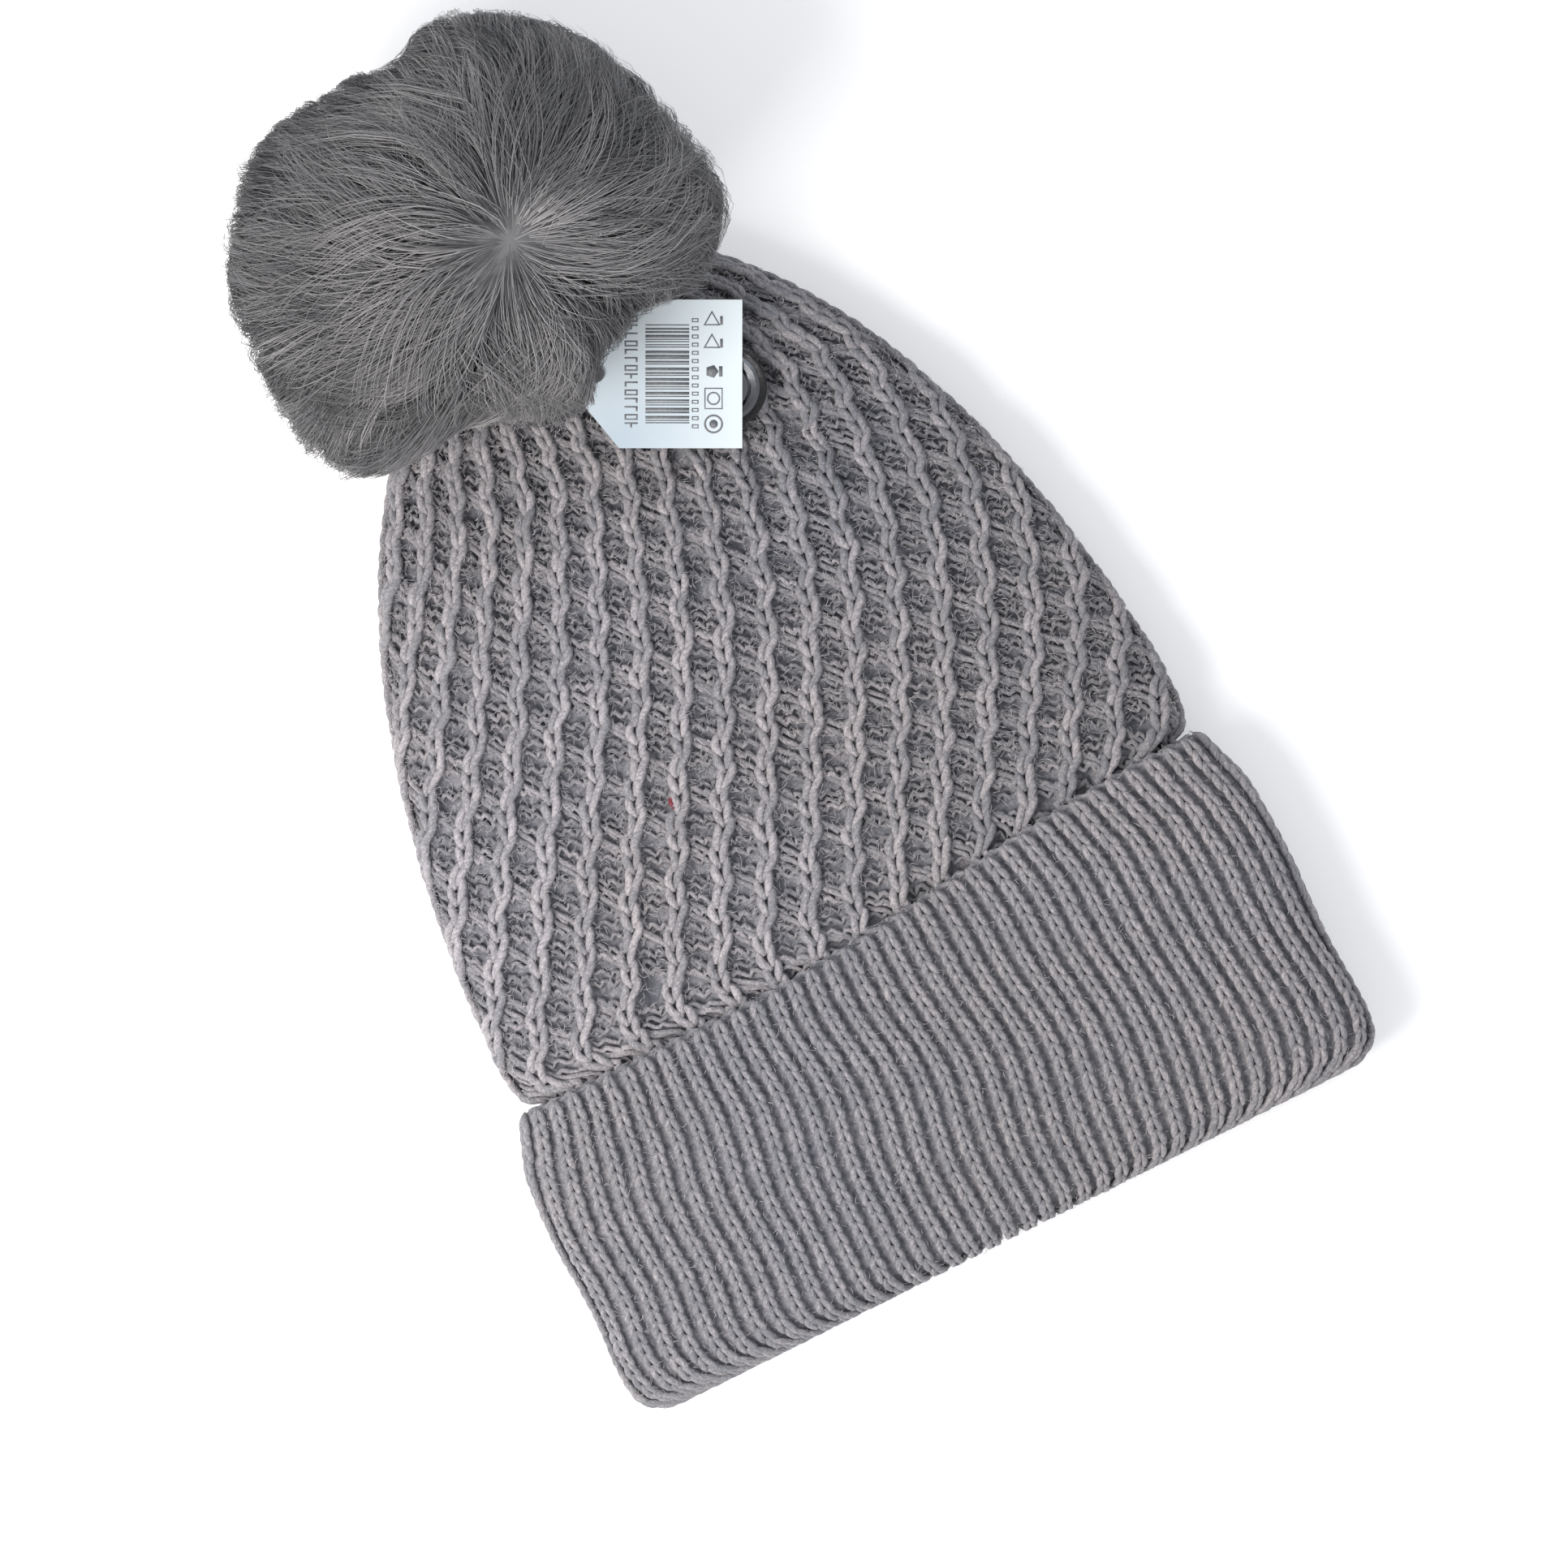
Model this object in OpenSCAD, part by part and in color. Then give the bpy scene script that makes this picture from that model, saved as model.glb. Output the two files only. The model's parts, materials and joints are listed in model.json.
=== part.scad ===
// Pom pom beanie, lying flat on its back.
// The brim points towards -Y, the crown towards +Y and the front of the hat faces +Z.

/* [Crown] */
// Half width of the crown where it leaves the cuff
crown_half_w = 96.6; // [90:0.1:102]
// Length of the crown from the cuff to its top
crown_len = 183; // [160:1:200]
// Height of the crown's front above the table
crown_h = 23; // [21:0.5:23]
// Thickness of the crown's honeycomb knit
crown_wall = 4; // [3:0.1:4.4]

/* [Cuff] */
// Half width of the turned-up cuff
cuff_half_w = 104; // [100:0.5:108]
// Half width of the cuff at its top edge
cuff_top_half_w = 97.4; // [96.5:0.1:99]
// Height of the cuff above the table
cuff_h = 27; // [27:0.5:29]
// Thickness of the cuff's outer layer
cuff_wall = 4.2; // [3.6:0.1:4.2]
// Distance from the brim fold to the cuff's top edge on the hat's left
cuff_depth = 77.9; // [70:0.1:82]
// How much higher the top edge runs on the hat's right
edge_rise = 10.4; // [0:0.1:12]
// Half width of the inner rib band
band_half_w = 90.5; // [86:0.1:91]
// Thickness of the inner rib band
band_wall = 3.6; // [3:0.1:3.8]

/* [Press stud] */
// Outside diameter of the press stud's black rim
snap_d = 21; // [19:0.5:22]
// Radius of the stud's post
post_r = 2.5; // [2:0.1:2.6]
// Distance of the press stud from the hat's middle line
snap_x = 30.1; // [20:0.1:35]
// Distance of the press stud from the brim fold
snap_y = 218.4; // [205:0.1:222]

/* [Pompom] */
// Radius of the dense part of the fur
fur_r = 57; // [50:0.5:60]
// Top of the fur above the table
fur_top = 108; // [100:1:112]
// Radius of the stuffed core with its backing cloth
core_r = 24; // [20:0.5:26]
// Length of the elastic loop from the press stud to the pompom's button
loop_len = 76.3; // [70:0.1:80]
// Direction of the loop, in degrees from the hat's right
loop_angle = 123.5; // [115:0.5:130]
// Width of the elastic loop
loop_w = 8; // [6:0.5:9]

/* [Hang tag] */
// Length of the card
tag_len = 42.9; // [38:0.1:46]
// Width of the card
tag_w = 37.3; // [34:0.1:40]
// Thickness of the card
tag_t = 0.4; // [0.3:0.05:0.5]
// Distance of the hole from the card's outer end
tag_hole_at = 36.8; // [34:0.1:37.5]
// Length of the clipped corners beside the hole
tag_clip_len = 12; // [6:0.5:13]
// Width of the clipped corners beside the hole
tag_clip_w = 14.5; // [6:0.5:15]
// Direction of the card from its outer end to its hole, in degrees
tag_angle = 153.4; // [150:0.5:157]

/* [Hidden] */
$fn = 64;

// Cross sections are rounded boxes: a high power gives a flatter front and back.
SIDES = 48;
ROUND = 5;

// Felt patch inside the crown, under the stud
PATCH_Z = 13.6;
PATCH_T = 1.2;

// Heights of the layers on the crown, from the stud's plate up to the pompom's fur
STUD_Z = 21.3;
PLATE_T = 0.7;
SOCKET_Z = 22.9;
LOOP_Z = 24;
LOOP_T = 1.2;
LOOP_RISE = 1.6;
CAP_Z = 25.6;
ARM_Z = 25.7;
TAG_Z = 27.4;
TAG_HOLE_R = 1.6;
FUR_Z = 28.8;
BASE_Z = 29;
BASE_T = 2;

// The thread, the elastic and the plastic fastener
THREAD_R = 0.35;
PIN_R = 0.6;
GAP = 0.3;

// Brim: the fold at the bottom reaches this far below the start of the cuff
FOLD = 4.2;
BAND_START = 1.6;
BAND_TOP = 72;
BAND_Z = 4.7;
BAND_H = 22.3;
CROWN_START = cuff_depth + 7.1;

snap_r = snap_d / 2;
core_z = BASE_Z + BASE_T + core_r + 1.4;
pompom_x = snap_x + loop_len * cos(loop_angle);
pompom_y = snap_y + loop_len * sin(loop_angle);
hole_x = 2.5;
hole_y = 235.9;
middle_y = (pompom_y + fur_r - FOLD) / 2;

// Everything is drawn from the brim fold and moved so that the origin is under the middle of the whole.
module seat() {
    translate([0, -middle_y, 0]) children();
}

module at_snap() {
    seat() translate([snap_x, snap_y, 0]) children();
}

module at_pompom() {
    seat() translate([pompom_x, pompom_y, 0]) children();
}

function smooth01(t) = let (u = min(1, max(0, t))) u * u * (3 - 2 * u);
function signed_pow(v, p) = sign(v) * pow(abs(v), p);

// The cuff's top edge runs level on the hat's left and climbs towards its right.
function edge_shift(x) = edge_rise * smooth01((x + 40) / 130);

// One cross section of a flat tube: [y, half width, lowest z, highest z, share of the edge's climb]
function section(s) = [for (i = [0 : SIDES - 1]) let (
        a = 360 * i / SIDES,
        x = s[1] * signed_pow(cos(a), 2 / ROUND),
        z = (s[2] + s[3]) / 2 + (s[3] - s[2]) / 2 * signed_pow(sin(a), 2 / ROUND)
    ) [x, s[0] + s[4] * edge_shift(x), max(0, z)]];

// Faces between neighbouring rings of n points each; wrap joins the last ring to the first.
function band_faces(rings, n, wrap) = [for (k = [0 : rings - (wrap ? 1 : 2)]) for (i = [0 : n - 1]) let (
        a = k * n + i,
        b = k * n + (i + 1) % n,
        c = ((k + 1) % rings) * n + (i + 1) % n,
        d = ((k + 1) % rings) * n + i
    ) each [[a, b, c], [a, c, d]]];

// A closed skin over rings of points, with a flat cap on each end
module capped_loft(rings) {
    n = len(rings[0]);
    last = (len(rings) - 1) * n;
    caps = [[for (i = [n - 1 : -1 : 0]) i], [for (i = [0 : n - 1]) last + i]];
    polyhedron([for (ring = rings) each ring], concat(band_faces(len(rings), n, false), caps));
}

// A closed skin over rings that come back to the first one
module ring_loft(rings) {
    polyhedron([for (ring = rings) each ring], band_faces(len(rings), len(rings[0]), true));
}

// The crown's plan is half an ellipse, and its height falls off towards the top.
function crown_half(t) = crown_half_w * sqrt(1 - t * t);
function crown_top(t) = 5 + (crown_h - 5) * sqrt(1 - pow(t, 4));
function crown_foot(t) = 4 * smooth01((t - 0.86) / 0.14) - 0.6;
function crown_lean(t) = 1 - smooth01(t / 0.3);
function crown_outside(t) = [CROWN_START + crown_len * t, crown_half(t), crown_foot(t), crown_top(t), crown_lean(t)];
function crown_inside(t) = [CROWN_START + (crown_len - crown_wall - 2) * t, crown_half(t) - crown_wall * (1 - t),
    crown_foot(t) + crown_wall + 0.6 - t, crown_top(t) - crown_wall + t, crown_lean(t)];
CROWN_STEPS = [0.996, 0.98, 0.95, 0.9, 0.84, 0.77, 0.7, 0.62, 0.53, 0.43, 0.32, 0.2, 0.1, 0.03];

module crown_knit() {
    flare = [
        [cuff_depth + 3.6, band_half_w + 4.6, 0.6, BAND_H + 0.9, 1],
        [cuff_depth + 1.8, band_half_w + 2.2, 3, BAND_H + 0.4, 1],
        [cuff_depth + 0.8, band_half_w, BAND_Z, BAND_H, 1],
        [BAND_TOP + 0.2, band_half_w, BAND_Z, BAND_H, 1]
    ];
    inner_flare = [
        [BAND_TOP + 0.2, band_half_w - band_wall, BAND_Z + band_wall, BAND_H - band_wall, 1],
        [cuff_depth, band_half_w - band_wall, BAND_Z + band_wall, BAND_H - band_wall, 1]
    ];
    inside = [for (i = [len(CROWN_STEPS) - 1 : -1 : 1]) crown_inside(CROWN_STEPS[i])];
    outside = [for (t = CROWN_STEPS) crown_outside(t)];
    color([0.53, 0.53, 0.56])
        seat() capped_loft([for (s = concat(outside, flare, inner_flare, inside)) section(s)]);
}

module rib_band() {
    inner = band_half_w - band_wall;
    color([0.55, 0.54, 0.57])
        seat() ring_loft([for (s = [
            [BAND_TOP, band_half_w, BAND_Z, BAND_H, 1],
            [BAND_TOP / 2, band_half_w, BAND_Z, BAND_H, 0.4],
            [BAND_START + 2, band_half_w, BAND_Z, BAND_H, 0],
            [BAND_START, band_half_w - 1, BAND_Z + 1, BAND_H - 1, 0],
            [BAND_START, inner, BAND_Z + band_wall, BAND_H - band_wall, 0],
            [BAND_TOP / 2, inner, BAND_Z + band_wall, BAND_H - band_wall, 0.4],
            [BAND_TOP, inner, BAND_Z + band_wall, BAND_H - band_wall, 1]
        ]) section(s)]);
}

// The seam runs up the middle of the back, inside the hat.
SEAM_W = 3;
SEAM_T = 0.9;
function seam_z(y) = BAND_Z + band_wall + 0.1
    - (BAND_Z + band_wall - crown_wall - 0.2) * smooth01((y - CROWN_START + 4) / 20);

module back_seam() {
    stops = [3, 40, 70, 80, 84, 90, 96, 102, 120, 160, 200, 235];
    color([0.45, 0.45, 0.48])
        seat() capped_loft([for (y = stops) let (z = seam_z(y) + 0.15) [
            [-SEAM_W / 2, y, z],
            [SEAM_W / 2, y, z],
            [SEAM_W / 2, y, z + SEAM_T],
            [-SEAM_W / 2, y, z + SEAM_T]
        ]]);
}

module crown_patch() {
    color([0.3, 0.3, 0.32])
        at_snap() translate([0, 0, PATCH_Z]) cylinder(h = PATCH_T, r = 11);
}

module gather_thread() {
    color([0.42, 0.42, 0.45])
        at_snap() translate([0, 0, PATCH_Z - 0.7]) rotate_extrude() translate([8, 0]) circle(r = 0.6, $fn = 24);
}

// Plate and post of the sewn-on half, with four sewing holes
SEW_R = 6.6;

module snap_stud() {
    color([0.32, 0.33, 0.35])
        at_snap() difference() {
            translate([0, 0, STUD_Z]) rotate_extrude() polygon([
                [0, 0], [8.5, 0], [8.5, PLATE_T], [post_r + 0.6, PLATE_T], [post_r, PLATE_T + 0.5],
                [post_r, PLATE_T + 1.6], [post_r + 0.4, PLATE_T + 2.2], [post_r, PLATE_T + 2.9], [0, PLATE_T + 2.9]
            ]);
            for (a = [45 : 90 : 315]) rotate(a) translate([SEW_R, 0, STUD_Z - 1]) cylinder(h = 3, r = 0.9);
        }
}

module stud_thread() {
    color([0.4, 0.4, 0.43])
        at_snap() for (a = [45 : 90 : 315]) rotate(a)
            translate([SEW_R, 0, STUD_Z + PLATE_T + 0.05]) rotate([0, 90, 0])
                translate([-THREAD_R, 0, 0]) cylinder(h = 2.6, r = THREAD_R, $fn = 24);
}

module cuff() {
    wide = cuff_half_w;
    inner = wide - cuff_wall;
    low = cuff_wall;
    high = cuff_h - cuff_wall;
    color([0.56, 0.55, 0.58])
        seat() ring_loft([for (s = [
            [cuff_depth - 1.2, cuff_top_half_w, -0.6, cuff_h, 1],
            [cuff_depth - 8, cuff_top_half_w + 3, -0.6, cuff_h, 0.94],
            [cuff_depth - 17, wide - 0.8, -0.6, cuff_h, 0.85],
            [45, wide, -0.6, cuff_h, 0.6],
            [24, wide - 0.8, -0.6, cuff_h, 0.3],
            [8, wide, -0.6, cuff_h, 0],
            [1, wide - 0.8, 0, cuff_h - 0.8, 0],
            [-2.6, wide - 4, 2.6, cuff_h - 3, 0],
            [-FOLD, wide - 9, 6, cuff_h - 6, 0],
            [-FOLD + 0.6, band_half_w - 1.4, BAND_Z + band_wall - 0.6, BAND_H - band_wall + 0.6, 0],
            [-1.8, band_half_w - band_wall, BAND_Z + band_wall, BAND_H - band_wall, 0],
            [-0.6, band_half_w - band_wall, BAND_Z + band_wall, BAND_H - band_wall, 0],
            [0.2, inner - 4, low + 1, high - 1, 0],
            [3, inner, low, high, 0],
            [24, inner - 0.8, low, high, 0.3],
            [45, inner, low, high, 0.6],
            [cuff_depth - 17, inner - 0.8, low, high, 0.85],
            [cuff_depth - 8, cuff_top_half_w - cuff_wall + 3, low, high, 0.94],
            [cuff_depth - 1.2, cuff_top_half_w - cuff_wall, low, high, 1]
        ]) section(s)]);
}

// The linked edge is a soft bead that closes the top of the cuff.
module cuff_edge() {
    color([0.5, 0.5, 0.53])
        seat() ring_loft([for (s = [
            [cuff_depth - 1.15, cuff_top_half_w - 0.1, 0, cuff_h - 0.1, 1],
            [cuff_depth - 1.15, cuff_top_half_w - cuff_wall + 0.1, cuff_wall - 0.1, cuff_h - cuff_wall + 0.1, 1],
            [cuff_depth - 0.3, cuff_top_half_w - cuff_wall + 0.6, cuff_wall - 0.6, cuff_h - cuff_wall + 0.6, 1],
            [cuff_depth, cuff_top_half_w - 2, 2, cuff_h - 2, 1],
            [cuff_depth - 0.3, cuff_top_half_w - 0.7, 0.7, cuff_h - 0.7, 1]
        ]) section(s)]);
}

module snap_spring() {
    color([0.75, 0.75, 0.77])
        at_snap() translate([0, 0, STUD_Z + 2.7]) rotate_extrude() translate([post_r + 0.85, 0])
            circle(r = 0.3, $fn = 24);
}

// The socket's barrel goes through the loop's eye; its groove holds the spring.
BARREL_R = 6.8;

module snap_socket() {
    bore = post_r + 0.7;
    color([0.34, 0.35, 0.37])
        at_snap() rotate_extrude() polygon([
            [bore, SOCKET_Z], [9.6, SOCKET_Z], [9.6, SOCKET_Z + 0.8], [BARREL_R, SOCKET_Z + 0.8],
            [BARREL_R, CAP_Z - 0.05], [bore, CAP_Z - 0.05], [bore, STUD_Z + 3.3], [bore + 0.8, STUD_Z + 3.3],
            [bore + 0.8, STUD_Z + 2.1], [bore, STUD_Z + 2.1]
        ]);
}

module snap_rim() {
    color([0.05, 0.05, 0.055])
        at_snap() rotate_extrude() polygon([
            [snap_r - 1.7, CAP_Z - 0.2], [snap_r - 0.3, CAP_Z - 0.2], [snap_r, CAP_Z + 0.2],
            [snap_r, CAP_Z + 0.8], [snap_r - 0.6, CAP_Z + 1.25], [snap_r - 1.7, CAP_Z + 1]
        ]);
}

module snap_cap() {
    r = snap_r - 1.8;
    color([0.36, 0.37, 0.39])
        at_snap() rotate_extrude() polygon([
            [0, CAP_Z], [r, CAP_Z], [r, CAP_Z + 0.9], [r - 0.9, CAP_Z + 1.3], [r - 2.2, CAP_Z + 1],
            [r - 3, CAP_Z + 0.6], [0, CAP_Z + 0.5]
        ]);
}

// The hole and the fastener in the loop's own frame: x runs from the press stud to the pompom.
hole_along = (hole_x - snap_x) * cos(loop_angle) + (hole_y - snap_y) * sin(loop_angle);
hole_aside = (hole_y - snap_y) * cos(loop_angle) - (hole_x - snap_x) * sin(loop_angle);

module loop_strap() {
    rise_from = 50;
    rise_to = loop_len - 9;
    translate([0, loop_w / 2, LOOP_Z]) rotate([90, 0, 0]) linear_extrude(loop_w) polygon([
        [8, 0], [rise_from, 0], [rise_to, LOOP_RISE], [loop_len - 3, LOOP_RISE],
        [loop_len - 3, LOOP_RISE + LOOP_T], [rise_to, LOOP_RISE + LOOP_T], [rise_from, LOOP_T], [8, LOOP_T]
    ]);
}

module pompom_loop() {
    button_r = 2.3;
    color([0.2, 0.2, 0.21])
        at_snap() rotate(loop_angle) difference() {
            union() {
                translate([0, 0, LOOP_Z]) cylinder(h = LOOP_T, r = 9.8);
                loop_strap();
                translate([loop_len, 0, LOOP_Z + LOOP_RISE]) cylinder(h = LOOP_T, r = 5.4);
            }
            translate([0, 0, LOOP_Z - 1]) cylinder(h = LOOP_T + 2, r = BARREL_R + GAP);
            translate([loop_len, 0, LOOP_Z]) cylinder(h = LOOP_T + 4, r = button_r);
            translate([hole_along, 0, LOOP_Z - 1]) cylinder(h = LOOP_T + 2, r = PIN_R + 0.2);
        }
}

// A plastic swift fastener: a bar under the loop, an arm between loop and card, and a paddle on the card
module tag_fastener() {
    paddle_t = 0.5;
    color([0.88, 0.88, 0.88])
        at_snap() rotate(loop_angle) translate([hole_along, 0, 0]) {
            translate([-4, 0, LOOP_Z - 0.75]) rotate([0, 90, 0]) cylinder(h = 8, r = PIN_R);
            translate([0, 0, LOOP_Z - 0.75]) cylinder(h = ARM_Z - LOOP_Z + 1, r = PIN_R);
            translate([0, 0, ARM_Z + 0.3]) rotate([-90, 0, 0]) cylinder(h = hole_aside, r = PIN_R);
            translate([0, hole_aside, ARM_Z + 0.3]) cylinder(h = TAG_Z + tag_t + 0.2 - ARM_Z - 0.3, r = PIN_R);
            translate([0, hole_aside, TAG_Z + tag_t + 0.1]) cylinder(h = paddle_t, r = 2.2);
        }
}

// A plain card with clipped corners at its hole end
module hang_tag() {
    end = tag_len - tag_hole_at;
    half = tag_w / 2;
    color([0.93, 0.95, 0.97])
        seat() translate([hole_x, hole_y, TAG_Z]) rotate(tag_angle) difference() {
            linear_extrude(tag_t) polygon([
                [-tag_hole_at, -half], [end - tag_clip_len, -half], [end, tag_clip_w - half],
                [end, half - tag_clip_w], [end - tag_clip_len, half], [-tag_hole_at, half]
            ]);
            translate([0, 0, -1]) cylinder(h = 2, r = TAG_HOLE_R);
        }
}

// A shank button under the pompom turns in the loop's far eye.
module pompom_button() {
    head_z = LOOP_Z + LOOP_RISE - 1.6;
    color([0.15, 0.15, 0.16])
        at_pompom() rotate_extrude() polygon([
            [0, head_z], [4, head_z], [4.6, head_z + 0.4], [4.6, head_z + 1.2], [2, head_z + 1.2],
            [2, BASE_Z - 0.6], [3.4, BASE_Z], [0, BASE_Z]
        ]);
}

module pompom_base() {
    color([0.22, 0.22, 0.24])
        at_pompom() translate([0, 0, BASE_Z]) cylinder(h = BASE_T, r = 13);
}

module pompom_drawstring() {
    color([0.8, 0.8, 0.8])
        at_pompom() translate([0, 0, BASE_Z + BASE_T + 0.9]) rotate_extrude() translate([10.6, 0])
            circle(r = 0.8, $fn = 24);
}

// Half circles from the top pole down to a flat foot, as polygons for rotate_extrude
function arc_down(rx, rz, z, foot, steps = 20) = let (low = asin((foot - z) / rz))
    [for (i = [0 : steps]) let (a = 90 + (low - 90) * i / steps) [rx * cos(a), z + rz * sin(a)]];

module pompom_backing() {
    foot = core_z - core_r + 1;
    wall = 1.2;
    inner = arc_down(core_r - wall, core_r - wall, core_z, foot + 0.2);
    color([0.6, 0.6, 0.62])
        at_pompom() rotate_extrude() polygon(concat(
            arc_down(core_r, core_r, core_z, foot),
            [for (i = [len(inner) - 1 : -1 : 0]) inner[i]]
        ));
}

module pompom_stuffing() {
    r = core_r - 1.6;
    color([0.93, 0.93, 0.92])
        at_pompom() rotate_extrude() polygon(concat(arc_down(r, r, core_z, core_z - r + 1.4), [[0, core_z - r + 1.4]]));
}

module pompom_fur() {
    mid_z = FUR_Z + (fur_top - FUR_Z) * 0.37;
    throat_r = 14;
    cave_r = core_r + 0.6;
    throat_z = core_z - sqrt(cave_r * cave_r - throat_r * throat_r);
    cave = arc_down(cave_r, cave_r, core_z, throat_z);
    color([0.42, 0.42, 0.43])
        at_pompom() rotate_extrude() polygon(concat(
            arc_down(fur_r, fur_top - mid_z, mid_z, FUR_Z),
            [[throat_r, FUR_Z]],
            [for (i = [len(cave) - 1 : -1 : 0]) cave[i]]
        ));
}

crown_knit();
rib_band();
back_seam();
crown_patch();
gather_thread();
snap_stud();
stud_thread();
cuff();
cuff_edge();
snap_spring();
snap_socket();
snap_rim();
snap_cap();
pompom_loop();
tag_fastener();
hang_tag();
pompom_button();
pompom_base();
pompom_drawstring();
pompom_backing();
pompom_stuffing();
pompom_fur();
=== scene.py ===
"""Pom pom beanie lying flat on its back: the looks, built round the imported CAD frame.

Lengths are metres in the frame's own axes: +Y from brim to crown, +Z up out of the hat's front.
"""

import json
import math

import bpy
import numpy as np
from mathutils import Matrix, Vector


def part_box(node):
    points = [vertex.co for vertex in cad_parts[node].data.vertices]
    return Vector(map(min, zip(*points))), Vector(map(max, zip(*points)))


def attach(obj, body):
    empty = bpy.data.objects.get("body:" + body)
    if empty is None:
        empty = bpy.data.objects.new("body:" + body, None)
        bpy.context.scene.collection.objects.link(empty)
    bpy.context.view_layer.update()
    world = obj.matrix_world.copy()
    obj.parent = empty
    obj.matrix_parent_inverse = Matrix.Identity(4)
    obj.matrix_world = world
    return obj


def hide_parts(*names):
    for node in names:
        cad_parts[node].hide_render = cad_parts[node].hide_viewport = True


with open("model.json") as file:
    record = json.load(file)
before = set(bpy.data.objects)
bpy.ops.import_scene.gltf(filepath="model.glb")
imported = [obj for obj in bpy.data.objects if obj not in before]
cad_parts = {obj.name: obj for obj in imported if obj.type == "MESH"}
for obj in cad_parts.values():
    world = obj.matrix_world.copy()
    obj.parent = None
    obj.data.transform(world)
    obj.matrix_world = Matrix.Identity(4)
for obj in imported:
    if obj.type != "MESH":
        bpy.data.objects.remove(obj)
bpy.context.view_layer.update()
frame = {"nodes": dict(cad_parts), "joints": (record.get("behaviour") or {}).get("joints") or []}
MM = 0.001
RNG = np.random.default_rng(20)
TAU = 2 * math.pi


def node_box(name):
    """A node's lowest and highest corners as arrays."""
    low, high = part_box(name)
    return np.array(low, float), np.array(high, float)


def joint_place(name):
    """Where a joint's axis is at rest."""
    for joint in frame["joints"]:
        if joint["name"] == name:
            return np.array(joint["pos_m"], float)
    raise KeyError(name)


CUFF_LOW, CUFF_HIGH = node_box("cuff")
CROWN_HIGH = node_box("crown_knit")[1]
BAND_LOW, BAND_HIGH = node_box("rib_band")
FUR_LOW = node_box("pompom_fur")[0]
SNAP = joint_place("snap_swivel")
POM = joint_place("pompom_spin")
HOLE = joint_place("tag_swing")
TAG_HIGH = node_box("hang_tag")[1]

# The CAD model measures along the hat from BRIM, where the round of the brim fold starts
FOLD = 4.2 * MM
BRIM = CUFF_LOW[1] + FOLD
# The camera's and the tag's right and up, seen from above: the hat leans left in the picture
LEAN_COS, LEAN_SIN = 0.894, 0.447


# ---- mesh building


def unit(v):
    return v / np.maximum(np.linalg.norm(v, axis=-1, keepdims=True), 1e-12)


def smooth01(t):
    u = np.clip(t, 0, 1)
    return u * u * (3 - 2 * u)


def above_table(points):
    """The same points, with what is lower than a thin layer on the table pressed up into that layer."""
    points = np.array(points, float)
    depth = 1.5 * MM
    points[:, 2] = np.where(points[:, 2] < depth, depth * np.exp(points[:, 2] / depth - 1), points[:, 2])
    return points


def new_mesh(name, points, faces, material, body, tone=None, yarn=None):
    """One object from an (N, 3) array and an (M, 4) or (M, 3) array of corners, riding on a body."""
    points = above_table(points)
    mesh = bpy.data.meshes.new(name)
    sides = faces.shape[1]
    mesh.vertices.add(len(points))
    mesh.vertices.foreach_set("co", np.asarray(points, np.float32).ravel())
    mesh.loops.add(faces.size)
    mesh.loops.foreach_set("vertex_index", faces.astype(np.int32).ravel())
    mesh.polygons.add(len(faces))
    mesh.polygons.foreach_set("loop_start", np.arange(0, faces.size, sides, dtype=np.int32))
    mesh.update(calc_edges=True)
    mesh.polygons.foreach_set("use_smooth", np.ones(len(faces), bool))
    if tone is not None:
        layer = mesh.attributes.new("tone", "FLOAT", "POINT")
        layer.data.foreach_set("value", np.asarray(tone, np.float32).ravel())
    if yarn is not None:
        layer = mesh.attributes.new("yarn", "FLOAT_VECTOR", "POINT")
        layer.data.foreach_set("vector", np.asarray(yarn, np.float32).ravel())
    mesh.materials.append(material)
    obj = bpy.data.objects.new(name, mesh)
    bpy.context.scene.collection.objects.link(obj)
    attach(obj, body)


def end_cap(corners):
    """Quads that close each row of corners; a triangle left over repeats its last corner."""
    last = corners.shape[1] - 1
    return [corners[:, [0, i, i + 1, min(i + 2, last)]] for i in range(1, last, 2)]


def tube_mesh(paths, up, radius, sides, tone):
    """Points, quads and tones of closed tubes along paths (N, K, 3), of radius (N, K), turned by up."""
    n, k = paths.shape[:2]
    tangent = unit(np.gradient(paths, axis=1))
    across = unit(np.cross(tangent, up))
    normal = np.cross(across, tangent)
    turn = np.arange(sides) * TAU / sides
    spokes = (
        np.cos(turn)[None, None, :, None] * across[:, :, None, :]
        + np.sin(turn)[None, None, :, None] * normal[:, :, None, :]
    )
    points = paths[:, :, None, :] + spokes * radius[:, :, None, None]
    index = np.arange(n * k * sides).reshape(n, k, sides)
    following = np.roll(index, -1, axis=2)
    quads = np.stack([index[:, :-1], following[:, :-1], following[:, 1:], index[:, 1:]], axis=-1)
    shades = np.repeat(tone, k * sides) if np.ndim(tone) == 1 else np.repeat(tone.ravel(), sides)
    ends = end_cap(index[:, 0, ::-1]) + end_cap(index[:, -1])
    return points.reshape(-1, 3), np.concatenate([quads.reshape(-1, 4), *ends]), shades


def fibre_space(paths, sides):
    """For each point of tube_mesh's tubes, a place where one unit along is 2 mm and the fibres wind round."""
    n = len(paths)
    run = np.concatenate(
        [np.zeros((n, 1)), np.cumsum(np.linalg.norm(np.diff(paths, axis=1), axis=2), axis=1)], axis=1
    )
    turn = np.arange(sides)[None, None, :] * TAU / sides + (run * 700)[:, :, None]
    along = np.broadcast_to((run / (2 * MM))[:, :, None], turn.shape)
    start = RNG.uniform(0, 60, (n, 1, 1, 3))
    return (np.stack([along, 2.4 * np.cos(turn), 2.4 * np.sin(turn)], -1) + start).reshape(-1, 3)


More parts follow.
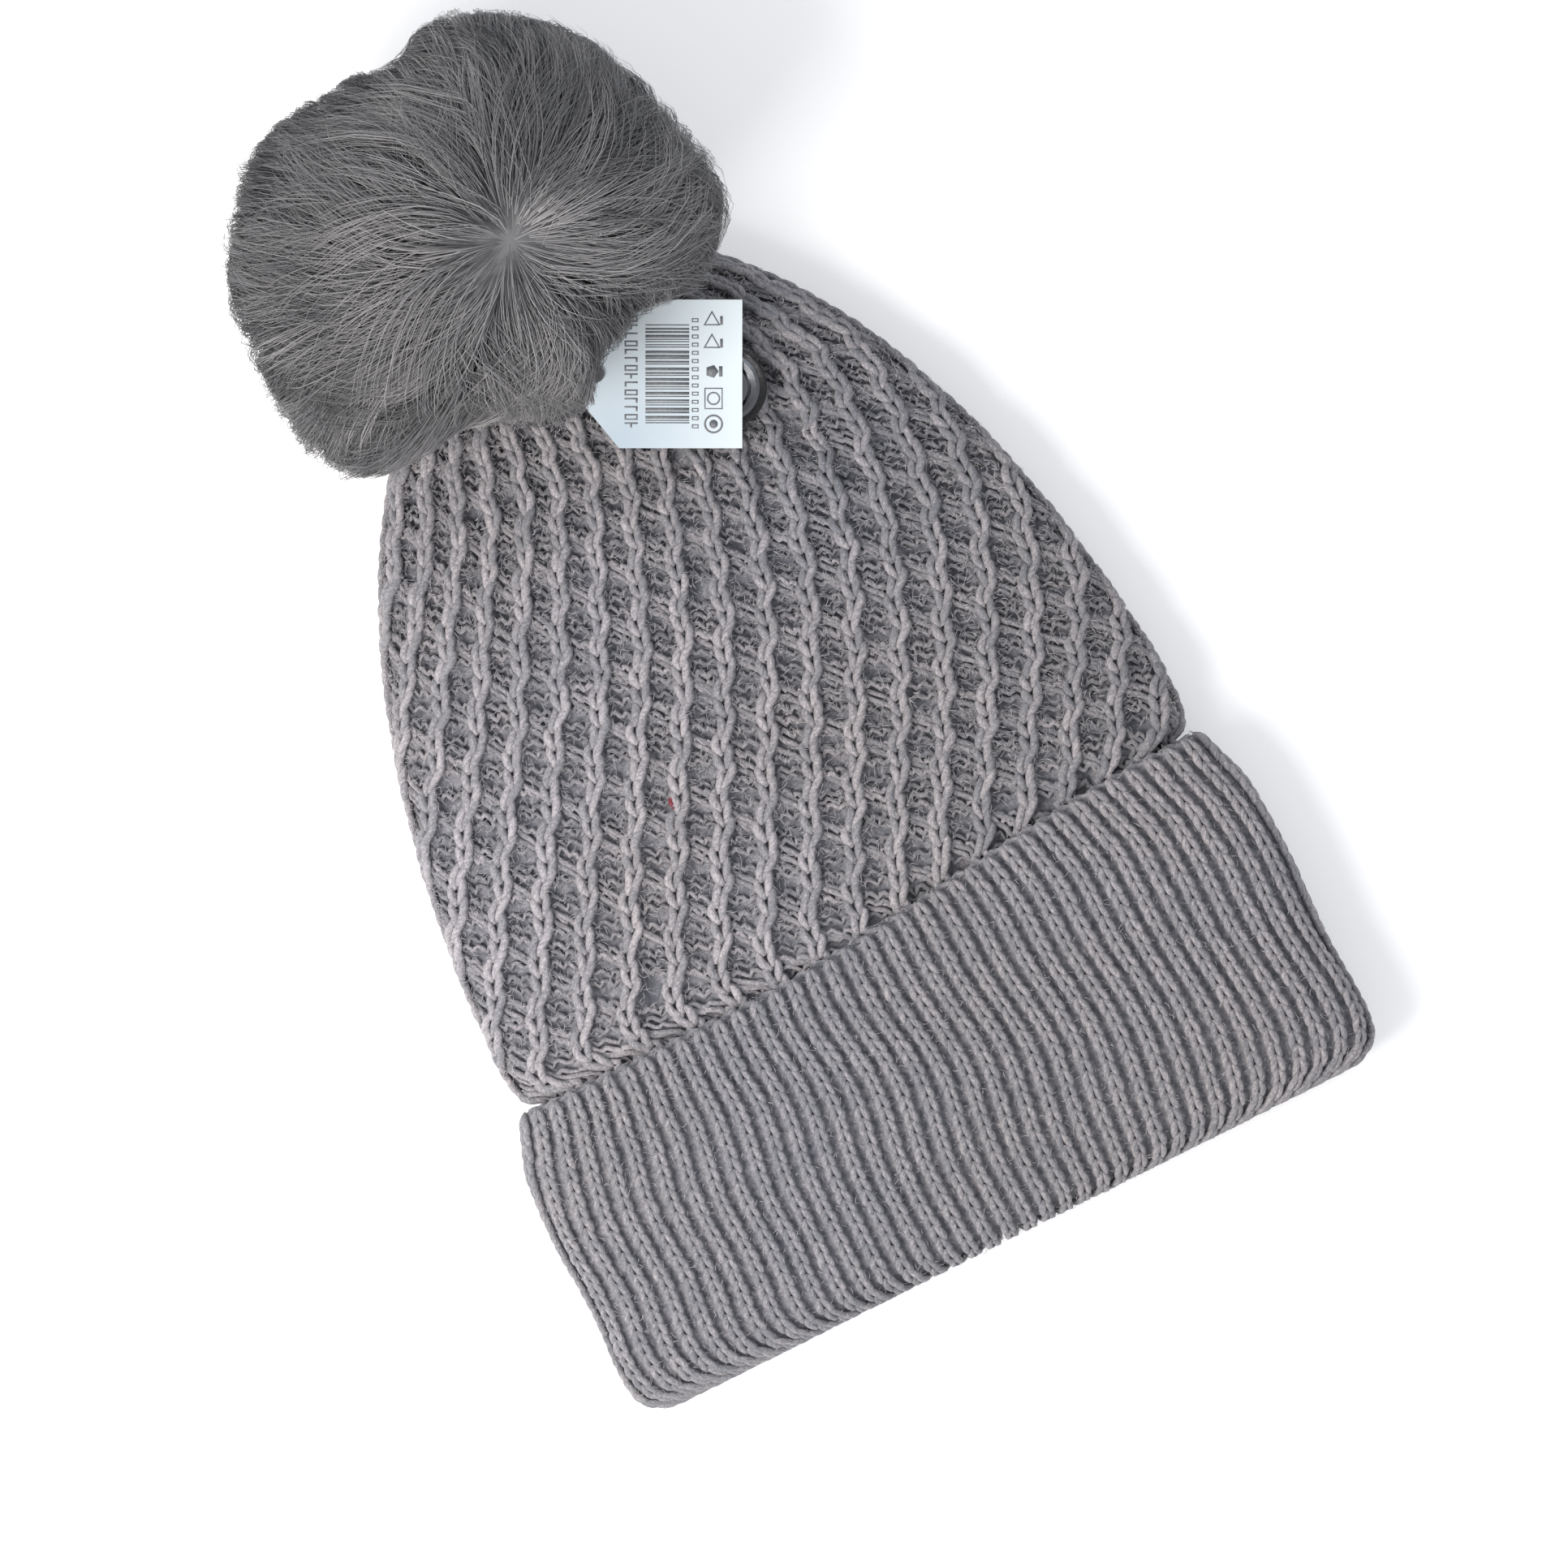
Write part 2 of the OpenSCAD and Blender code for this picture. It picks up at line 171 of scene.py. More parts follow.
def as_triangles(quads):
    """Two triangles for each quad, dropping the empty half of a quad whose last corners are the same."""
    tris = np.concatenate([quads[:, [0, 1, 2]], quads[:, [0, 2, 3]]])
    return tris[tris[:, 1] != tris[:, 2]]


def grid_faces(rows, columns):
    """Quads over a grid of points, numbered row by row; each row closes on itself."""
    index = np.arange(rows * columns).reshape(rows, columns)
    right = np.roll(index, -1, axis=1)
    return np.stack([index[:-1], right[:-1], right[1:], index[1:]], -1).reshape(-1, 4)


# ---- the hat's surfaces

# The power of the tubes' rounded cross-sections
ROUND = 5
EDGE_FROM, EDGE_RUN = 40 * MM, 130 * MM
EDGE_RISE = 10.4 * MM


def edge_shift(x):
    """How far the cuff's top edge has climbed at x on its way to the hat's right."""
    return EDGE_RISE * smooth01((x + EDGE_FROM) / EDGE_RUN)


class Tube:
    """A flat tube given by stations (y, half width, lowest z, highest z, share of the edge's climb).

    A place on it is (s, c): s is the distance along the front from the first station, and c goes round from
    0 at the hat's right through 1 in the middle of the front and 2 at its left to 3 at the back.
    """

    ROUND_STEPS = 480

    def __init__(self, stations, steps=240, press=None):
        stations = np.array(stations, float)
        knots = np.concatenate([[0], np.cumsum(np.linalg.norm(np.diff(stations[:, :4], axis=0), axis=1))])
        fine = np.linspace(0, knots[-1], steps)
        rows = np.stack([self.curve(knots, stations[:, i], fine) for i in range(5)], -1)
        turn = np.linspace(0, TAU, 3 * self.ROUND_STEPS + 1)
        power = 2 / ROUND
        cos_part = np.sign(np.cos(turn)) * np.abs(np.cos(turn)) ** power
        sin_part = np.sign(np.sin(turn)) * np.abs(np.sin(turn)) ** power
        table = np.empty((steps, self.ROUND_STEPS + 1, 3))
        for i, (y, half, low, high, lean) in enumerate(rows):
            x = half * cos_part
            z = np.maximum((low + high) / 2 + (high - low) / 2 * sin_part, 0)
            length = np.concatenate([[0], np.cumsum(np.hypot(np.diff(x), np.diff(z)))])
            quarter = np.interp([0, TAU / 4, TAU / 2, 3 * TAU / 4, TAU], turn, length)
            wanted = np.interp(np.linspace(0, 4, self.ROUND_STEPS + 1), np.arange(5), quarter)
            table[i, :, 0] = np.interp(wanted, length, x)
            table[i, :, 2] = np.interp(wanted, length, z)
            table[i, :, 1] = BRIM + y + lean * edge_shift(table[i, :, 0])
        if press:
            front = slice(0, self.ROUND_STEPS // 2 + 1)
            faced = np.sin(np.linspace(0, math.pi, self.ROUND_STEPS // 2 + 1)) ** 0.5
            table[:, front, 2] -= press(table[:, front, 0], table[:, front, 1]) * faced
        along = np.linalg.norm(np.diff(table[:, self.ROUND_STEPS // 4], axis=0), axis=1)
        self.s_table = np.concatenate([[0], np.cumsum(along)])
        self.length = self.s_table[-1]
        self.table = table
        down = np.gradient(table, axis=0)
        round_way = np.gradient(table, axis=1)
        normals = unit(np.cross(round_way, down))
        outward = 1 if normals[steps // 8, self.ROUND_STEPS // 4, 2] > 0 else -1
        self.normals = normals * outward
        self.steps = steps

    @staticmethod
    def curve(knots, values, at):
        """A smooth curve through the stations that never overshoots them."""
        step = np.diff(knots)
        slope = np.diff(values) / step
        tangent = np.zeros(len(values))
        same = slope[:-1] * slope[1:] > 0
        total = np.where(same, slope[:-1] + slope[1:], 1)
        tangent[1:-1] = np.where(same, 2 * slope[:-1] * slope[1:] / total, 0)
        tangent[0], tangent[-1] = slope[0], slope[-1]
        i = np.clip(np.searchsorted(knots, at) - 1, 0, len(step) - 1)
        t = (at - knots[i]) / step[i]
        h = step[i]
        return (
            (1 + 2 * t) * (1 - t) ** 2 * values[i]
            + t * (1 - t) ** 2 * h * tangent[i]
            + t * t * (3 - 2 * t) * values[i + 1]
            + t * t * (t - 1) * h * tangent[i + 1]
        )

    def look_up(self, table, s, c):
        row = np.interp(s, self.s_table, np.arange(self.steps))
        r0 = np.clip(row.astype(int), 0, self.steps - 2)
        fr = (row - r0)[..., None]
        column = np.mod(c, 4) / 4 * self.ROUND_STEPS
        c0 = np.clip(column.astype(int), 0, self.ROUND_STEPS - 1)
        fc = (column - c0)[..., None]
        top = table[r0, c0] * (1 - fc) + table[r0, c0 + 1] * fc
        bottom = table[r0 + 1, c0] * (1 - fc) + table[r0 + 1, c0 + 1] * fc
        return top * (1 - fr) + bottom * fr

    def point(self, s, c, out=0.0):
        """The place (s, c), moved out along the surface's normal."""
        s, c = np.broadcast_arrays(np.asarray(s, float), np.asarray(c, float))
        lift = np.broadcast_to(np.asarray(out, float), s.shape)[..., None]
        return self.look_up(self.table, s, c) + unit(self.look_up(self.normals, s, c)) * lift

    def normal(self, s, c):
        s, c = np.broadcast_arrays(np.asarray(s, float), np.asarray(c, float))
        return unit(self.look_up(self.normals, s, c))

    def girth(self, s):
        """The way round at distance s, as metres for one step of c."""
        quarter = np.linalg.norm(np.diff(self.table, axis=1), axis=2).sum(axis=1) / 4
        return np.interp(s, self.s_table, quarter)


CROWN_HALF = 96.6 * MM
CROWN_START = 85 * MM
CROWN_LEN = 183 * MM
CROWN_H = CROWN_HIGH[2] - 0.2 * MM
CUFF_DEPTH = 77.9 * MM
BAND_TOP = 72 * MM
BAND_HALF = BAND_HIGH[0]
BAND_FOOT, BAND_H = BAND_LOW[2], BAND_HIGH[2]
BAND_WALL = 3.6 * MM
CUFF_HALF = CUFF_HIGH[0]
CUFF_TOP_HALF = 97.4 * MM
CUFF_H = CUFF_HIGH[2]
CUFF_WALL = 4.2 * MM
# The band's half width, lowest z and highest z, outside and inside
BAND_OUTSIDE = (BAND_HALF, BAND_FOOT, BAND_H)
BAND_INSIDE = (BAND_HALF - BAND_WALL, BAND_FOOT + BAND_WALL, BAND_H - BAND_WALL)


def crown_station(t, wall=0.0):
    """One station of the crown's half ellipse; t runs from its foot to its top."""
    half = CROWN_HALF * math.sqrt(max(0, 1 - t * t))
    top = 5 * MM + (CROWN_H - 5 * MM) * math.sqrt(max(0, 1 - t**4))
    foot = 4 * MM * float(smooth01((t - 0.86) / 0.14)) - 0.4 * MM
    lean = 1 - float(smooth01(t / 0.3))
    length = CROWN_LEN - (wall + 2 * MM if wall else 0)
    return (
        CROWN_START + length * t,
        max(half - wall * (1 - t), 0.5 * MM),
        foot + (wall + (0.4 - t) * MM if wall else 0),
        top - (wall - t * MM if wall else 0),
        lean,
    )


# Folds that the stud draws in the knit: (direction in degrees, depth, half width, length) in mm
FOLDS = [
    (-57, 4.2, 3.0, 50), (-97, 3.4, 2.6, 46), (-127, 2.0, 3.0, 40), (-152, 3.4, 3.4, 46), (-20, 1.6, 3.0, 34),
]


def fold_depth(x, y):
    """How far the folds round the stud sink the front of the crown."""
    dx, dy = (x - SNAP[0]) / MM, (y - SNAP[1]) / MM
    depth = 0
    for way, deep, wide, length in FOLDS:
        cos_way, sin_way = math.cos(math.radians(way)), math.sin(math.radians(way))
        along, across = dx * cos_way + dy * sin_way, dy * cos_way - dx * sin_way
        ends = smooth01((along - 6) / 8) * (1 - smooth01((along - 0.4 * length) / (0.6 * length)))
        depth = depth + deep * MM * ends * np.exp(-((across / wide) ** 2))
    return depth


def crown_tube():
    mouth = [
        (BAND_TOP + 0.2 * MM, *BAND_OUTSIDE, 1),
        (CUFF_DEPTH + 0.8 * MM, *BAND_OUTSIDE, 1),
        (CUFF_DEPTH + 1.8 * MM, BAND_HALF + 2.2 * MM, 3 * MM, BAND_H + 0.4 * MM, 1),
        (CUFF_DEPTH + 3.6 * MM, BAND_HALF + 4.6 * MM, 0.6 * MM, BAND_H + 0.7 * MM, 1),
    ]
    steps = [0.03, 0.1, 0.2, 0.32, 0.43, 0.53, 0.62, 0.7, 0.77, 0.84, 0.9, 0.95, 0.98, 0.996, 0.9998]
    return Tube(mouth + [crown_station(t) for t in steps], steps=400, press=fold_depth)


def crown_lining():
    mouth = [(BAND_TOP + 0.2 * MM, *BAND_INSIDE, 1), (CUFF_DEPTH, *BAND_INSIDE, 1)]
    steps = [0.03, 0.2, 0.43, 0.62, 0.77, 0.9, 0.98]
    return Tube(mouth + [crown_station(t, 4 * MM) for t in steps])


def cuff_tube():
    """From the top edge down the outside, round the fold and up to the lip inside."""
    wide = CUFF_HALF
    _, low, high = BAND_INSIDE
    return Tube(
        [
            (CUFF_DEPTH - 0.2 * MM, CUFF_TOP_HALF - 1.6 * MM, 1.4 * MM, CUFF_H - 1.4 * MM, 1),
            (CUFF_DEPTH - 1.2 * MM, CUFF_TOP_HALF, -0.6 * MM, CUFF_H, 1),
            (CUFF_DEPTH - 8 * MM, CUFF_TOP_HALF + 3 * MM, -0.6 * MM, CUFF_H, 0.94),
            (CUFF_DEPTH - 17 * MM, wide - 0.8 * MM, -0.6 * MM, CUFF_H, 0.85),
            (45 * MM, wide, -0.6 * MM, CUFF_H, 0.6),
            (24 * MM, wide - 0.8 * MM, -0.6 * MM, CUFF_H, 0.3),
            (8 * MM, wide, -0.6 * MM, CUFF_H, 0),
            (1 * MM, wide - 0.8 * MM, 0, CUFF_H - 0.8 * MM, 0),
            (-2.6 * MM, wide - 4 * MM, 2.6 * MM, CUFF_H - 3 * MM, 0),
            (-FOLD, wide - 9 * MM, 6 * MM, CUFF_H - 6 * MM, 0),
            (-FOLD + 0.6 * MM, BAND_HALF - 1.4 * MM, low - 0.6 * MM, high + 0.6 * MM, 0),
            (-1.4 * MM, *BAND_INSIDE, 0),
            (-0.4 * MM, *BAND_INSIDE, 0),
        ],
        steps=360,
    )


def cuff_back_tube():
    """The cuff's hidden inner face, from the lip up to the top edge."""
    inner = CUFF_HALF - CUFF_WALL
    low, high = CUFF_WALL, CUFF_H - CUFF_WALL
    return Tube(
        [
            (-0.4 * MM, *BAND_INSIDE, 0),
            (0.2 * MM, inner - 4 * MM, low + 1 * MM, high - 1 * MM, 0),
            (3 * MM, inner, low, high, 0),
            (24 * MM, inner - 0.8 * MM, low, high, 0.3),
            (45 * MM, inner, low, high, 0.6),
            (CUFF_DEPTH - 17 * MM, inner - 0.8 * MM, low, high, 0.85),
            (CUFF_DEPTH - 8 * MM, CUFF_TOP_HALF - CUFF_WALL + 3 * MM, low, high, 0.94),
            (CUFF_DEPTH - 1.2 * MM, CUFF_TOP_HALF - CUFF_WALL, low, high, 1),
            (CUFF_DEPTH - 0.2 * MM, CUFF_TOP_HALF - 1.6 * MM, 1.4 * MM, CUFF_H - 1.4 * MM, 1),
        ]
    )


def band_tube():
    return Tube(
        [
            (1.6 * MM, BAND_HALF - 0.6 * MM, BAND_FOOT + 0.6 * MM, BAND_H - 0.6 * MM, 0),
            (3.6 * MM, *BAND_OUTSIDE, 0),
            (36 * MM, *BAND_OUTSIDE, 0.4),
            (BAND_TOP, *BAND_OUTSIDE, 1),
        ]
    )


def band_lining():
    return Tube([(1.6 * MM, *BAND_INSIDE, 0), (36 * MM, *BAND_INSIDE, 0.4), (BAND_TOP, *BAND_INSIDE, 1)])


# ---- materials


def nodes_of(name, roughness, sheen=0.0, metallic=0.0):
    material = bpy.data.materials.new(name)
    material.use_nodes = True
    tree = material.node_tree
    shader = tree.nodes["Principled BSDF"]
    shader.inputs["Roughness"].default_value = roughness
    shader.inputs["Metallic"].default_value = metallic
    shader.inputs["Sheen Weight"].default_value = sheen
    shader.inputs["Sheen Roughness"].default_value = 0.5
    return material, tree, shader


def noise(tree, scale, detail):
    place = tree.nodes.new("ShaderNodeTexCoord")
    texture = tree.nodes.new("ShaderNodeTexNoise")
    texture.inputs["Scale"].default_value = scale
    texture.inputs["Detail"].default_value = detail
    tree.links.new(place.outputs["Object"], texture.inputs["Vector"])
    return texture.outputs["Fac"]


def ramp(tree, value, stops):
    node = tree.nodes.new("ShaderNodeValToRGB")
    elements = node.color_ramp.elements
    elements[0].position, elements[0].color = stops[0][0], (*stops[0][1], 1)
    elements[1].position, elements[1].color = stops[-1][0], (*stops[-1][1], 1)
    for at, colour in stops[1:-1]:
        elements.new(at).color = (*colour, 1)
    tree.links.new(value, node.inputs["Fac"])
    return node.outputs["Color"]


def product(tree, a, b):
    """Two colours multiplied together."""
    node = tree.nodes.new("ShaderNodeMix")
    node.data_type = "RGBA"
    node.blend_type = "MULTIPLY"
    node.inputs["Factor"].default_value = 1.0
    tree.links.new(a, node.inputs["A"])
    tree.links.new(b, node.inputs["B"])
    return node.outputs["Result"]


def maths(tree, operation, a, b):
    node = tree.nodes.new("ShaderNodeMath")
    node.operation = operation
    for value, socket in ((a, node.inputs[0]), (b, node.inputs[1])):
        if isinstance(value, bpy.types.NodeSocket):
            tree.links.new(value, socket)
        else:
            socket.default_value = value
    return node.outputs[0]


def bump(tree, shader, height, distance, strength):
    node = tree.nodes.new("ShaderNodeBump")
    node.inputs["Strength"].default_value = strength
    node.inputs["Distance"].default_value = distance
    tree.links.new(height, node.inputs["Height"])
    tree.links.new(node.outputs["Normal"], shader.inputs["Normal"])


def yarn_material(name, dark, mid, light, wound=True):
    """Fuzzy acrylic yarn: pale fibres over a darker ground, with each stitch a little lighter or darker; the
    tone attribute also carries painted light and shade.
    """
    material, tree, shader = nodes_of(name, 0.8, sheen=0.2)
    attribute = tree.nodes.new("ShaderNodeAttribute")
    attribute.attribute_name = "tone"
    fine = noise(tree, 1400, 3)
    broad = noise(tree, 16, 2)
    if wound:
        place = tree.nodes.new("ShaderNodeAttribute")
        place.attribute_name = "yarn"
        fibres = tree.nodes.new("ShaderNodeTexNoise")
        fibres.inputs["Scale"].default_value = 1.0
        fibres.inputs["Detail"].default_value = 3.0
        fibres.inputs["Roughness"].default_value = 0.65
        tree.links.new(place.outputs["Vector"], fibres.inputs["Vector"])
        streaks = fibres.outputs["Fac"]
    else:
        streaks = noise(tree, 500, 3)
    blend = maths(tree, "ADD", maths(tree, "MULTIPLY", fine, 0.7), maths(tree, "MULTIPLY", streaks, 1.05))
    mixed = maths(tree, "SUBTRACT", blend, 0.375)
    shifted = maths(tree, "ADD", mixed, maths(tree, "MULTIPLY", attribute.outputs["Fac"], 0.36))
    colour = ramp(tree, shifted, [(0.4, dark), (0.66, mid), (1.0, light)])
    cast = ramp(tree, broad, [(0.35, (0.98, 0.985, 1.01)), (0.65, (1.02, 1.0, 0.99))])
    tree.links.new(product(tree, colour, cast), shader.inputs["Base Color"])
    bump(tree, shader, mixed, 0.5 * MM, 0.8)
    return material


def fur_material(name):
    material, tree, shader = nodes_of(name, 0.5, sheen=0.1)
    attribute = tree.nodes.new("ShaderNodeAttribute")
    attribute.attribute_name = "tone"
    colour = ramp(
        tree,
        attribute.outputs["Fac"],
        [
            (0.0, (0.043, 0.044, 0.048)),
            (0.35, (0.147, 0.147, 0.153)),
            (0.7, (0.25, 0.246, 0.25)),
            (1.0, (0.4, 0.39, 0.39)),
        ],
    )
    tree.links.new(colour, shader.inputs["Base Color"])
    shader.inputs["Specular IOR Level"].default_value = 0.5
    return material


YARN = yarn_material("knit_yarn", (0.16, 0.169, 0.186), (0.277, 0.268, 0.279), (0.52, 0.48, 0.49))
# A darker copy of the yarn for the sheet behind the stitches: painted shade in the recesses
SHADED_GROUND = yarn_material("knit_ground", (0.13, 0.137, 0.155), (0.245, 0.243, 0.26), (0.42, 0.406, 0.42), False)
# A lighter copy of the yarn for the loose fibres: painted highlight on the fuzz
FIBRE = yarn_material("loose_fibre", (0.2, 0.2, 0.215), (0.36, 0.35, 0.365), (0.62, 0.6, 0.61), False)
FUR = fur_material("faux_fur")


# ---- the crown's honeycomb knit

RIBS = 32
RIB_WAVE = 11.9 * MM
RIB_SWING = 0.85 * MM
PURL_ROW = 2.6 * MM
# The courses run square to the leaning ribs, so each climbs this much on its way to the next rib on the left
COURSE_CLIMB = 5.6 * MM
# Dropped stitches that leave a hole, sunk in and painted dark as shade, by place on the CAD model's own axes
HOLES = [(-0.6 * MM, 177.6 * MM), (-54.5 * MM, 90.8 * MM)]
RED_FIBRE = (-28.6 * MM, 130.8 * MM)
CROWN = crown_tube()
CROWN_GIRTH = CROWN.girth(0.03)


def turned(s):
    """How far the whole crown is turned towards the hat's right at distance s, in steps of c."""
    rise = np.maximum(s - 12 * MM, 0)
    return 5.2 * np.minimum(rise, 80 * MM) + 4.2 * np.clip(rise - 80 * MM, 0, 50 * MM)


def rib_phase(s, rib):
    """A rib's place in its zig-zag; neighbours are opposite along a course and all are a little uneven."""
    turn = TAU * rib / RIBS
    return s / RIB_WAVE + rib / RIBS + 0.09 * np.sin(9 * turn) + 0.06 * np.sin(7 * turn + s * 55)


def rib_swing(s, rib):
    phase = TAU * rib_phase(s, rib)
    return RIB_SWING * (np.sin(phase) + 0.3 * np.sin(2 * phase))


def rib_c(s, rib, aside):
    """Where a rib lies round the hat; aside is metres towards the hat's right."""
    girth = CROWN.girth(s)
    narrow = np.clip(girth / CROWN_GIRTH, 0.2, 1)
    return 4 * rib / RIBS - turned(s) - (rib_swing(s, rib) + aside) * narrow / girth


def closeness(s, rib):
    """1 where the cell beyond a rib is pinched together and bridged, 0 in the middle of its pocket."""
    return 0.5 - 0.5 * np.sin(TAU * rib_phase(s, rib))


def crown_relief(s, c):
    """Depth of the sheet behind the ribs: pockets in the cells, shallower where they are bridged."""
    place = (c + turned(s)) * RIBS / 4
    rib = np.floor(place)
    across = place - rib
    near = closeness(s - COURSE_CLIMB * across, rib)
    return (-3.0 + 1.0 * near + 1.7 * np.abs(np.cos(math.pi * across)) ** 3) * MM


def near_hole(points):
    """How close points are to a dropped stitch, 0 to 1."""
    share = np.zeros(points.shape[:-1])
    for x, y in HOLES:
        away = (points[..., 0] - x) ** 2 + (points[..., 1] - BRIM - y) ** 2
        share = np.maximum(share, np.exp(-away / (2.6 * MM) ** 2))
    return share


def crown_base():
    """The sheet behind the ribs, closed by its inner face."""
    rows, columns = 158, RIBS * 16
    s = np.linspace(0, CROWN.length, rows)[:, None]
    c = np.linspace(0, 4, columns, endpoint=False)[None, :]
    relief = crown_relief(s, c) - 2.5 * MM * near_hole(CROWN.point(s, c))
    outside = CROWN.point(s, c, relief * smooth01((CROWN.length - s) / (16 * MM)))
    lining = crown_lining()
    inner_rows = 36
    s_in = np.linspace(lining.length, 0, inner_rows)[:, None]
    inside = lining.point(s_in, c, 0.4 * MM * np.sin(c * RIBS * TAU / 4))
    points = np.concatenate([inside.reshape(-1, 3), outside.reshape(-1, 3)])
    faces = grid_faces(inner_rows + rows, columns)
    # Painted shade: the ground darker towards the crown's right and tip, and dark inside the dropped-stitch
    # holes
    tone = 0.2 + crown_painted_shade(points) - 1.4 * near_hole(points)
    new_mesh("crown_ground", points, faces[:, ::-1], SHADED_GROUND, "hat", tone)


def crown_painted_shade(points):
    """Painted shade: the crown's tone falls off towards the hat's right and its tip."""
    aside = smooth01((points[..., 0] + 30 * MM) / (100 * MM))
    high = smooth01((points[..., 1] - BRIM - 150 * MM) / (80 * MM))
    return -0.28 * aside - 0.14 * high


def cuff_painted_light(points):
    """Painted light: the cuff's tone rises a little towards the hat's right."""
    return 0.22 * smooth01(points[..., 0] / (90 * MM))


def chain_stitches(tube, place, start, end, stitch, count, name, body, tone_range, shade, parts):
    """Columns of V stitches: each leg is a tapered tube from a stitch's foot to the shoulder of the next.

    place gives c for a distance along, a column and metres aside; stitch holds one stitch's sizes.
    """
    height, half_gap, thick, lift = (stitch[key] for key in ("height", "half_gap", "thick", "lift"))
    rows = int((end - start) / height)
    column = np.arange(count)
    legs, ups, sizes, tones = [], [], [], []
    t = np.linspace(0, 1, 6)
    for side in (-1, 1):
        r, q = np.meshgrid(np.arange(rows), column, indexing="ij")
        r, q = r.ravel(), q.ravel()
        jitter = RNG.normal(0, 0.06, (len(r), 3))
        s = start + (r[:, None] + 0.05 * side + t[None, :] * 1.38 + jitter[:, :1] * 0.5) * height
        open_out = np.sin(np.clip(t * 1.15, 0, 1) * math.pi * 0.5)
        close_in = 1 - 0.25 * smooth01((t - 0.75) / 0.25)
        aside = side * half_gap * (0.18 + 0.95 * open_out * close_in)[None, :] * (1 + jitter[:, 1:2])
        height_out = lift * (0.35 + 0.95 * np.sin(math.pi * np.clip(t * 0.92 + 0.06, 0, 1)))[None, :]
        height_out = height_out + jitter[:, 2:3] * lift * 0.6
        c = place(s, q[:, None], aside)
        legs.append(tube.point(s, c, height_out))
        ups.append(tube.normal(s, c))
        swell = 0.62 + 0.42 * np.sin(math.pi * np.clip(t * 0.9 + 0.08, 0, 1))
        sizes.append(np.broadcast_to(thick * swell[None, :], s.shape) * (1 + jitter[:, 1:2]))
        tones.append(RNG.uniform(*tone_range, len(r)))
    paths, ups, sizes, tones = map(np.concatenate, (legs, ups, sizes, tones))
    # shade adds painted light and shade by place, on top of each stitch's own random tone
    tones = np.clip(tones + shade(paths[:, 2]), 0, 1)
    order = np.argsort(paths[:, 2, 2] < np.median(paths[:, 2, 2]), kind="stable")
    for part, chosen in enumerate(np.array_split(order, parts)):
        points, faces, tone = tube_mesh(paths[chosen], ups[chosen], sizes[chosen], 6, tones[chosen])
        yarn = fibre_space(paths[chosen], 6)
        new_mesh(f"{name}_{part + 1}", points, faces, YARN, body, tone, yarn)


def crown_ribs():
    stitch = {"height": 4.0 * MM, "half_gap": 1.65 * MM, "thick": 1.08 * MM, "lift": 0.55 * MM}
    # crown_painted_shade darkens the ribs towards the hat's right and tip as painted shade
    chain_stitches(CROWN, rib_c, 2 * MM, CROWN.length - 5 * MM, stitch, RIBS,
                   "crown_ribs", "hat", (0.25, 0.95), crown_painted_shade, parts=2)


def course(s, q, t, inset):
    """Places (s, c) along a course, from rib q at t = 0 to the next rib on its left at t = 1."""
    far = s + COURSE_CLIMB
    right, left = rib_c(s, q, -inset), rib_c(far, q + 1, inset)
    return s + COURSE_CLIMB * t, right + (left - right) * t


def crown_purls():
    """Courses of purl bumps across each cell; where it is pinched they rise and slant into the next rib."""
    rows = int((CROWN.length + 2 * MM) / PURL_ROW)
    r, q = np.meshgrid(np.arange(rows), np.arange(RIBS), indexing="ij")
    r, q = r.ravel()[:, None], q.ravel()[:, None]
    t = np.linspace(0, 1, 10)[None, :]
    wobble = RNG.normal(0, 1, (len(r), 5))
    s = -4 * MM + (r + wobble[:, :1] * 0.14) * PURL_ROW
    near = closeness(s, q) ** 1.5
    along, c = course(s, q, t, 1.0 * MM)
    bumps = np.abs(np.sin(1.3 * TAU * t + wobble[:, 1:2] * 0.7))
    along = along + PURL_ROW * (0.75 * bumps - 0.2 + 0.2 * wobble[:, 2:3] * np.sin(math.pi * t))
    along = along + (1.8 * near - 1.9) * MM * (t - 0.4)
    fade = smooth01((CROWN.length - along) / (16 * MM))
    out = (-1.8 + 0.9 * near + 0.6 * bumps - 0.3 * np.sin(math.pi * t)) * MM
    out = (out + wobble[:, 3:4] * 0.22 * MM) * fade
    inside = (along.min(axis=1) > 1 * MM) & (along.max(axis=1) < CROWN.length - 1 * MM)
    paths = CROWN.point(along, c, out)
    ups = CROWN.normal(along, c)
    radius = np.full(paths.shape[:2], 0.7 * MM) * (1 + 0.14 * wobble[:, 4:5])
    # Painted shade: purls deep in the pockets darker than those raised at the pinches, and the crown darker
    # towards its right and tip
    tones = np.clip(0.32 + 0.3 * near[:, 0] + 0.2 * wobble[:, 0] + crown_painted_shade(paths[:, 5]), 0, 1)
    kept = np.flatnonzero((near_hole(paths).max(axis=1) < 0.35) & inside)
    for part, chosen in enumerate(np.array_split(kept[np.argsort(paths[kept, 4, 2])], 2)):
        points, faces, tone = tube_mesh(paths[chosen], ups[chosen], radius[chosen], 5, tones[chosen])
        yarn = fibre_space(paths[chosen], 5)
        new_mesh(f"crown_purls_{part + 1}", points, faces, YARN, "hat", tone, yarn)


